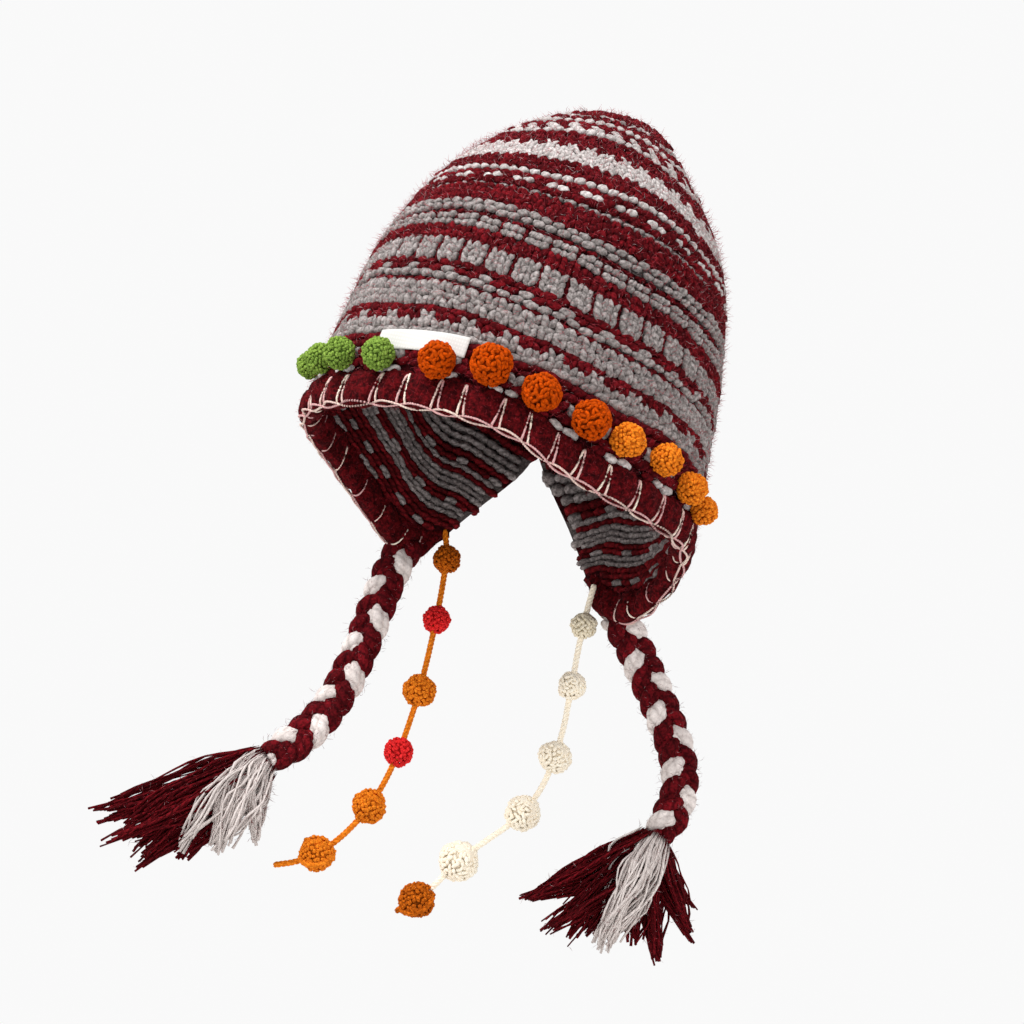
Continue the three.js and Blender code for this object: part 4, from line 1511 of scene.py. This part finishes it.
def on_border(azimuth, angle, proud=0.0):
    """A place on the border's skin: angle 0 is its top, 90 its outer face, 180 its lower edge."""
    gap = min(abs(azimuth - turn) for turn in stitch_turns)
    draw = math.exp(-((gap / DRAW_REACH) ** 2))
    t = math.radians(angle)
    from_end = min(azimuth - BORDER_RIGHT, BORDER_LEFT - azimuth)
    end = from_end / END_REACH
    close = math.sqrt(max(0, 1 - (1 - min(1, end)) ** 2)) if end < 1 else 1
    deep = BORDER_DEEP - END_THIN * max(0, 1 - from_end / END_LEAN_REACH)
    half = (deep + BORDER_PROUD) / 2 * (1 - DRAW_IN * draw) * close
    tall = BORDER_HEIGHT / 2 * (1 - DRAW_DOWN * draw) * (END_TALL + (1 - END_TALL) * close)
    share = 0.5 + 0.5 * math.cos(t)
    right_end, left_end = slit_azimuths(BORDER_HEIGHT * share)
    azimuth += (right_end - BORDER_RIGHT) * max(0, 1 - (azimuth - BORDER_RIGHT) / END_LEAN_REACH)
    azimuth += (left_end - BORDER_LEFT) * max(0, 1 - (BORDER_LEFT - azimuth) / END_LEAN_REACH)
    depth = (deep - BORDER_PROUD) / 2 - half * rounded_power(math.sin(t), SIDE_POWER) - proud * math.sin(t)
    along = BORDER_HEIGHT / 2 + tall * rounded_power(math.cos(t), TOP_POWER) + proud * math.cos(t)
    return on_hat(azimuth, along, depth)[0]


print("blanket stitches:", len(stitch_turns))

# %% The felted roll
SKIN_STEP = 0.62
SKIN_POINTS = 32
COARSE_LUMP, FINE_LUMP = 6 * MM, 1.8 * MM
COARSE_HEIGHT, FINE_HEIGHT = 1.2, 0.9


def border_skin():
    count = round((BORDER_LEFT - BORDER_RIGHT) / SKIN_STEP)
    points, faces = [], []
    for j in range(count + 1):
        azimuth = BORDER_RIGHT + (BORDER_LEFT - BORDER_RIGHT) * j / count
        for i in range(SKIN_POINTS):
            angle = 360 * i / SKIN_POINTS
            spot = on_border(azimuth, angle)
            coarse = COARSE_HEIGHT * noise.noise(spot / COARSE_LUMP)
            lump = coarse + FINE_HEIGHT * noise.noise(spot / FINE_LUMP)
            points.append(on_border(azimuth, angle, lump))
    for j in range(count):
        for i in range(SKIN_POINTS):
            a, b = j * SKIN_POINTS + i, j * SKIN_POINTS + (i + 1) % SKIN_POINTS
            faces.append((a, b, b + SKIN_POINTS, a + SKIN_POINTS))
    faces.append(tuple(range(SKIN_POINTS - 1, -1, -1)))
    faces.append(tuple(count * SKIN_POINTS + i for i in range(SKIN_POINTS)))
    return points, faces


points, faces = border_skin()
finished("border_roll", points, faces, (BORDER,), ("border_band",))

# %% [markdown]
# ## The blanket stitch
# A thick cotton thread runs along the lower edge as a chain of long eyes. At each stitch a pair of legs
# climbs the border and meets near its top. The thread is dyed in patches, so here and there it is rose.
# A curve drawn by hand would look as good, but this one is laid on the roll by rule, so it goes down into
# every place where the roll is drawn in.

# %% Blanket stitch thread
THREAD_RADIUS = 0.6 * MM
THREAD_TWIST = 300
thread_rng = random.Random(3)
# Angles on the roll, as on_border has them, and numbers of points in one link or leg.
CHAIN_ANGLE, CHAIN_SPREAD, CHAIN_POINTS = 157, 15, 12
LEG_FOOT, LEG_POINTS = 158, 15
INNER_FOOT, INNER_CLIMB, INNER_POINTS = 172, 118, 12
# The brow is seen from outside, so legs inside are laid only beyond this azimuth.
INNER_FROM = 55
INNER_THIN = 0.75
OFF_ROLL = 0.3
TIP_FROM, TIP_PARTS = 0.9, 10


def above_roll(t, sink):
    """How far a leg lies off the roll in millimetres. Its last tenth goes down into the felt by sink."""
    return OFF_ROLL - sink * max(0, t - TIP_FROM) * TIP_PARTS


def chain_lines():
    lines = []
    edges = [BORDER_RIGHT + 1.5, *stitch_turns, BORDER_LEFT - 1.5]
    for strand in (-1, 1):
        points = []
        for i, (a, b) in enumerate(zip(edges, edges[1:])):
            for k in range(CHAIN_POINTS):
                t = k / CHAIN_POINTS
                bow = strand * (-1) ** i * math.sin(math.pi * t) ** 0.7
                over = 0.25 + 0.5 * strand * (-1) ** i * math.cos(math.pi * t)
                angle = CHAIN_ANGLE + CHAIN_SPREAD * bow
                points.append(on_border(a + (b - a) * t, angle, 0.4 + max(0, over)))
        lines.append((points, rounded_ends(len(points), THREAD_RADIUS, 2), THREAD_TWIST, False))
    return lines


def leg_lines():
    lines = []
    for turn in stitch_turns:
        lean = thread_rng.uniform(-0.6, 0.9)
        for side in (-1, 1):
            points = []
            top = thread_rng.uniform(32, 44)
            spread = thread_rng.uniform(0.9, 1.5)
            for k in range(LEG_POINTS):
                t = k / (LEG_POINTS - 1)
                angle = LEG_FOOT + (top - LEG_FOOT) * t
                azimuth = turn + side * spread * (1 - t) ** 0.8 + lean * t
                points.append(on_border(azimuth, angle, above_roll(t, 1.2)))
            lines.append((points, rounded_ends(LEG_POINTS, THREAD_RADIUS, 1), THREAD_TWIST, False))
    return lines


def inner_leg_lines():
    lines = []
    for turn in stitch_turns:
        if abs(turn) < INNER_FROM:
            continue
        slant = thread_rng.uniform(-3.5, 3.5)
        points = []
        for k in range(INNER_POINTS):
            t = k / (INNER_POINTS - 1)
            angle = INNER_FOOT + INNER_CLIMB * t
            points.append(on_border(turn + slant * t, angle, above_roll(t, 1.0)))
        thick = rounded_ends(INNER_POINTS, THREAD_RADIUS * INNER_THIN, 1)
        lines.append((points, thick, THREAD_TWIST, False))
    return lines


blanket_lines = chain_lines() + leg_lines() + inner_leg_lines()
print("lengths of thread:", len(blanket_lines))
spin("blanket_stitch", blanket_lines, THREAD, sides=5)

# %% [markdown]
# ## The tab
# A bare white woven tab is sewn flat against the knit above the brow: a thin slab with rounded edges and
# a fine ribbed weave. A plane with Shrinkwrap and Solidify could make it. Here its points are laid on the
# hat by the same rule as the stitches, so it has the hat's bend without reading another mesh.

# %% The woven tab
TAB_FROM, TAB_TO = -30.5, -1.5
TAB_LOW, TAB_HIGH = 26.5, 36.5
TAB_WIDE, TAB_TALL = TAB_TO - TAB_FROM, TAB_HIGH - TAB_LOW
TAB_THICK = 0.8
TAB_OUT = 1.4
# The edges thin out over this much: degrees at the sides, millimetres at the top and the bottom.
SIDE_ROUND, TOP_ROUND = 1.2, 0.8
EDGE_THIN = 0.35
CURL, CURL_WAVES, CURL_FROM = 0.35, 3.1, 0.3


def tab_place(u, v, is_front):
    edge = min(
        u * TAB_WIDE / SIDE_ROUND, (1 - u) * TAB_WIDE / SIDE_ROUND,
        v * TAB_TALL / TOP_ROUND, (1 - v) * TAB_TALL / TOP_ROUND, 1,
    )
    full = EDGE_THIN + (1 - EDGE_THIN) * math.sqrt(edge)
    lift = TAB_THICK * (0.5 + (0.5 if is_front else -0.5) * full)
    curl = CURL * math.sin(CURL_WAVES * u * math.pi) * (v - CURL_FROM)
    depth = -(TAB_OUT + lift + max(0, curl))
    return on_hat(TAB_FROM + TAB_WIDE * u, TAB_LOW + TAB_TALL * v, depth)[0]


def tab():
    columns, rows = 48, 14
    points, faces = [], []
    sheets = []
    for is_front in (True, False):
        sheet = []
        for j in range(rows + 1):
            for i in range(columns + 1):
                sheet.append(len(points))
                points.append(tab_place(i / columns, j / rows, is_front))
        sheets.append(sheet)
    wide = columns + 1
    front, back = sheets
    for j in range(rows):
        for i in range(columns):
            a = j * wide + i
            faces.append((front[a], front[a + 1], front[a + 1 + wide], front[a + wide]))
            faces.append((back[a], back[a + wide], back[a + 1 + wide], back[a + 1]))
    rim = (
        list(range(columns))
        + [j * wide + columns for j in range(rows)]
        + [rows * wide + i for i in range(columns, 0, -1)]
        + [j * wide for j in range(rows, 0, -1)]
    )
    for a, b in zip(rim, rim[1:] + rim[:1]):
        faces.append((front[b], front[a], back[a], back[b]))
    return points, faces


points, faces = tab()
finished("woven_tab", points, faces, (TAB_CLOTH,), ("label_tab",))

# %% [markdown]
# ## Yarn balls
# The row of pompoms and the balls on the strings are both made of looped wool: tight little knobs all
# over a ball. Each one is a cloud of the same knob, evenly spread by the golden angle and then disturbed,
# round a plain core that fills the gaps. Points scattered at random would leave holes and heaps.

# %% Knobbed balls
GOLDEN_TURN = math.pi * (3 - math.sqrt(5))
KNOB_OVERLAP = 0.4
UNEVEN = 0.07
LUMP_HEIGHT, LUMPS = 0.11, 1.5


def ball_beads(centre, radius, knob, stretched, core, seed):
    """A core and then its knobs, each the size of knob and stretched so many times its width."""
    rng = random.Random(seed)
    count = round(4 * math.pi * radius**2 / (knob * knob * (KNOB_OVERLAP + (1 - KNOB_OVERLAP) * stretched)))
    laid_beads = [(centre, Vector((1, 0, 0)), Vector((0, 0, 1)), core * radius, core * radius, 0.2)]
    for i in range(count):
        z = 1 - 2 * (i + 0.5) / count
        turn = i * GOLDEN_TURN
        out = Vector((math.sqrt(1 - z * z) * math.cos(turn), math.sqrt(1 - z * z) * math.sin(turn), z))
        out = (out + Vector([rng.uniform(-UNEVEN, UNEVEN) for _ in range(3)])).normalized()
        aim = Vector([rng.uniform(-1, 1) for _ in range(3)]).cross(out).normalized()
        width = knob * rng.uniform(0.85, 1.15)
        lump = 1 + LUMP_HEIGHT * noise.noise(out * LUMPS + Vector((seed, 0, 0)))
        place = centre + out * (radius * lump - width * rng.uniform(0.25, 0.5))
        long = width * stretched * rng.uniform(0.85, 1.2)
        laid_beads.append((place, aim, out, long, width, rng.random()))
    return laid_beads


print("a turn between knobs:", round(math.degrees(GOLDEN_TURN), 1), "degrees")

# %% The balls' yarns
YARN_OF = {
    "moss": MOSS, "rust": RUST, "amber": AMBER, "umber": UMBER, "red": RED, "oat": OAT, "cream": CREAM,
}
POMPOM_YARNS = ["moss"] * 4 + ["rust"] * 4 + ["amber"] * 4
BALL_YARNS = {
    "right": ["umber", "red", "amber", "red", "amber", "amber"],
    "left": ["oat", "cream", "cream", "cream", "cream", "umber"],
}
# A knob's width in millimetres, how many times longer it is, and the core's width in ball radii.
KNOB_OF = {
    "rust": (2.1, 1.8, 1.82), "moss": (1.9, 1.25, 1.82), "amber": (2.1, 1.2, 1.82),
    "cream": (2.0, 1.6, 1.94), "oat": (2.0, 1.6, 1.94),
}
OTHER_KNOB = (2.0, 1.3, 1.82)
BALL_SWELL = 1.04
balls = [(f"pompom_{i + 1:02d}", yarn) for i, yarn in enumerate(POMPOM_YARNS)]
for side, yarns in BALL_YARNS.items():
    balls += [(f"{side}_ball_{i + 1}", yarn) for i, yarn in enumerate(yarns)]
print("balls:", len(balls))

# %% Lay the knobs
for number, (node, yarn) in enumerate(balls):
    low, high = (Vector(corner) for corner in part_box(node))
    centre = (low + high) / 2
    radius = sum(high - low) / 6
    knob, stretched, core = KNOB_OF.get(yarn, OTHER_KNOB)
    knobs = ball_beads(centre, radius * BALL_SWELL, knob * MM, stretched, core, 100 + number)
    cloud = bead_cloud(node + "_yarn", knobs)
    values = {"Bead": KNOB_BEAD, "Unevenness": 0.7 * MM, "Yarn": YARN_OF[yarn]}
    grown(node + "_yarn", cloud, bead_tree, values, (node,))

# %% [markdown]
# ## Loose fibres
# Wool never has a clean outline. Fine fibres stand off the yarn and catch the light, and from a metre
# away they are what makes it look soft. Particle hair would be the usual way, but each piece has to end
# as a plain mesh, so about fifty thousand bent hairs of six faces each are scattered over copies of the
# surfaces, with fixed seeds. A real fibre is several times thinner, too fine to show, so they are drawn
# thicker than life.

# %% The tree that grows fibres
fibre_tree, group = new_tree(
    "grow_fibres",
    [
        ("Fibre", "Object"), ("Density", "Float"), ("Lie", "Float"), ("Shortest", "Float"),
        ("Longest", "Float"), ("Seed", "Int"), ("Yarn", "Material"),
    ],
)
sown = add(
    fibre_tree, "GeometryNodeDistributePointsOnFaces", None,
    Mesh=group["Geometry"], Density=group["Density"], Seed=group["Seed"],
)
stray = add(
    fibre_tree, "FunctionNodeRandomValue", {"data_type": "FLOAT_VECTOR"},
    Min=(-1, -1, -1), Max=(1, 1, 1), Seed=group["Seed"],
)
laid_over = add(
    fibre_tree, "ShaderNodeVectorMath", {"operation": "SCALE"},
    Vector=stray.outputs["Value"], Scale=group["Lie"],
)
aim = add(
    fibre_tree, "ShaderNodeVectorMath", {"operation": "ADD"},
    i0=sown.outputs["Normal"], i1=laid_over.outputs["Vector"],
)
stood = add(fibre_tree, "FunctionNodeAlignRotationToVector", {"axis": "Z"}, Vector=aim.outputs["Vector"])
spin_angle = add(
    fibre_tree, "FunctionNodeRandomValue", {"data_type": "FLOAT_VECTOR"},
    Min=(0, 0, 0), Max=(0, 0, 2 * math.pi), Seed=group["Seed"],
)
spin_turn = add(fibre_tree, "FunctionNodeEulerToRotation", None, Euler=spin_angle.outputs["Value"])
turned = add(
    fibre_tree, "FunctionNodeRotateRotation", {"rotation_space": "LOCAL"},
    Rotation=stood.outputs["Rotation"], Rotate_By=spin_turn.outputs["Rotation"],
)
tall = add(
    fibre_tree, "FunctionNodeRandomValue", {"data_type": "FLOAT"},
    Min=group["Shortest"], Max=group["Longest"], Seed=group["Seed"],
)
fibre = add(fibre_tree, "GeometryNodeObjectInfo", None, Object=group["Fibre"])
grown_fibres = add(
    fibre_tree, "GeometryNodeInstanceOnPoints", None,
    Points=sown.outputs["Points"], Instance=fibre.outputs["Geometry"],
    Rotation=turned.outputs["Rotation"], Scale=tall.outputs["Value"],
)
real = add(fibre_tree, "GeometryNodeRealizeInstances", None, Geometry=grown_fibres.outputs["Instances"])
spun = add(
    fibre_tree, "GeometryNodeSetMaterial", None,
    Geometry=real.outputs["Geometry"], Material=group["Yarn"],
)
add(fibre_tree, "NodeGroupOutput", None, Geometry=spun.outputs["Geometry"])
print("fibre tree nodes:", len(fibre_tree.nodes))


# %% One fibre
def fibre_mesh():
    """A thin three-sided hair, about 1 long, sharp at both ends and bent in the middle."""
    points, faces = [(0, 0, 0)], []
    for i in range(3):
        a = 2 * math.pi * i / 3
        points.append((0.17 + 0.02 * math.cos(a), 0.02 * math.sin(a), 0.5))
    points.append((0.6, 0.15, 0.8))
    for i in range(3):
        a, b = 1 + i, 1 + (i + 1) % 3
        faces.append((0, b, a))
        faces.append((a, b, 4))
    mesh = bpy.data.meshes.new("fibre")
    mesh.from_pydata(points, [], faces)
    return mesh


FIBRE = hidden_tool("fibre", fibre_mesh())
print("faces in a fibre:", len(FIBRE.data.polygons))

# %% The ground for the fibres
TAB_MARGIN = 2
GROUND_FOOT, GROUND_HEADROOM = 18, 20
GROUND_OUT = 0.4


def is_under_tab(azimuth, along):
    is_beside = not TAB_FROM - TAB_MARGIN < azimuth < TAB_TO + TAB_MARGIN
    return not is_beside and TAB_LOW - TAB_MARGIN < along < TAB_HIGH + TAB_MARGIN


def outer_sheet(name, azimuth_step=3, level_step=4):
    """The knit's outer face alone, as ground for fibres, left open under the tab."""
    points, faces = [], []
    level_count = int((PROFILE_TOP - GROUND_HEADROOM) / level_step)
    levels = [GROUND_FOOT + level_step * j for j in range(level_count)]
    columns = round(360 / azimuth_step)
    for level in levels:
        for i in range(columns):
            azimuth = NAPE_AZIMUTH + 360 * i / columns
            points.append(on_hat(azimuth, level, -GROUND_OUT)[0])
    for j in range(len(levels) - 1):
        low, high = slit_azimuths(levels[j])
        for i in range(columns):
            azimuth = NAPE_AZIMUTH + 360 * i / columns
            if levels[j] < SLIT[-1][0] and not low < azimuth < high - azimuth_step:
                continue
            if is_under_tab(azimuth + azimuth_step / 2, levels[j] + level_step / 2):
                continue
            a, b = j * columns + i, j * columns + (i + 1) % columns
            faces.append((a, b, b + columns, a + columns))
    mesh = bpy.data.meshes.new(name)
    mesh.from_pydata(points, [], faces)
    return mesh


def faces_copy(name, points, faces):
    mesh = bpy.data.meshes.new(name)
    mesh.from_pydata(points, [], faces)
    return mesh


print("tab's azimuths left open:", TAB_FROM - TAB_MARGIN, "to", TAB_TO + TAB_MARGIN)

# %% Sow the fibres
CM2_IN_M2 = 1e4


def fibres(name, ground, per_cm2, lie, shortest, longest, seed, yarn):
    """Fibres so many to a square centimetre, so many millimetres long. Lie is how far they lean over."""
    values = {
        "Fibre": FIBRE, "Density": per_cm2 * CM2_IN_M2, "Lie": lie, "Shortest": shortest * MM,
        "Longest": longest * MM, "Seed": seed, "Yarn": yarn,
    }
    return grown(name, ground, fibre_tree, values)


fibres("maroon_fibres", outer_sheet("maroon_ground"), 20, 1.7, 2, 6, 1, RED_FIBRE)
fibres("grey_fibres", outer_sheet("grey_ground"), 9, 1.5, 1.5, 5, 2, GREY_FIBRE)
border_ground = faces_copy("border_ground", *border_skin())
fibres("border_fibres", border_ground, 20, 1.6, 1.2, 3.2, 3, RED_FIBRE)
for side in ("right", "left"):
    for part, kind, per_cm2, longest, yarn in (
        ("braid", "dark", 8, 5, DARK_FIBRE), ("braid", "pale", 5, 4.5, GREY_FIBRE),
        ("tassel", "dark", 2.4, 6, DARK_FIBRE), ("tassel", "pale", 1.2, 5, GREY_FIBRE),
    ):
        ground = bpy.data.objects[f"{side}_{part}_yarn"].data.copy()
        fibres(f"{side}_{part}_{kind}_fibres", ground, per_cm2, 1.6, 1.5, longest, 4, yarn)

# %% [markdown]
# ## Light and floor
# A plain soft studio: an even white surround, one large soft light above the brow to shape the stitches
# and a weaker one from the other side. A picture of a real studio could light it as well, but nothing is
# read from disk. The floor is far below, because the hat hangs at head height.

# %% Studio
SKY_STRENGTH = 0.95
LIGHT_AIM = Vector((0, 0, 0.03))
world = bpy.data.worlds.new("studio")
world.use_nodes = True
world.node_tree.nodes["Background"].inputs["Color"].default_value = (1, 1, 1, 1)
world.node_tree.nodes["Background"].inputs["Strength"].default_value = SKY_STRENGTH
bpy.context.scene.world = world
bpy.context.scene.view_settings.view_transform = "Standard"


def softbox(name, place, size, power):
    light = bpy.data.lights.new(name, "AREA")
    light.size = size
    light.energy = power
    lamp = bpy.data.objects.new(name, light)
    lamp.location = place
    lamp.rotation_euler = (LIGHT_AIM - Vector(place)).to_track_quat("-Z", "Y").to_euler()
    bpy.context.scene.collection.objects.link(lamp)


softbox("key_softbox", (-0.8, -0.9, 1.0), 0.7, 24)
softbox("fill_softbox", (1.2, -0.6, 0.4), 0.8, 3)
print("lights:", len(bpy.data.lights))

# %% Floor
FLOOR_HEIGHT = -0.55
FLOOR_HALF = 3.0
floor_mesh = bpy.data.meshes.new("studio_floor")
floor_corners = [
    (x * FLOOR_HALF, y * FLOOR_HALF, FLOOR_HEIGHT) for x, y in ((-1, -1), (1, -1), (1, 1), (-1, 1))
]
floor_mesh.from_pydata(floor_corners, [], [(0, 1, 2, 3)])
floor = bpy.data.objects.new("studio_floor", floor_mesh)
floor.data.materials.append(FLOOR_PAINT)
bpy.context.scene.collection.objects.link(floor)
for tool in (STITCH_BEAD, LINING_BEAD, KNOB_BEAD, FIBRE):
    bpy.data.objects.remove(tool)
print("floor at", FLOOR_HEIGHT, "m; hidden tools removed")
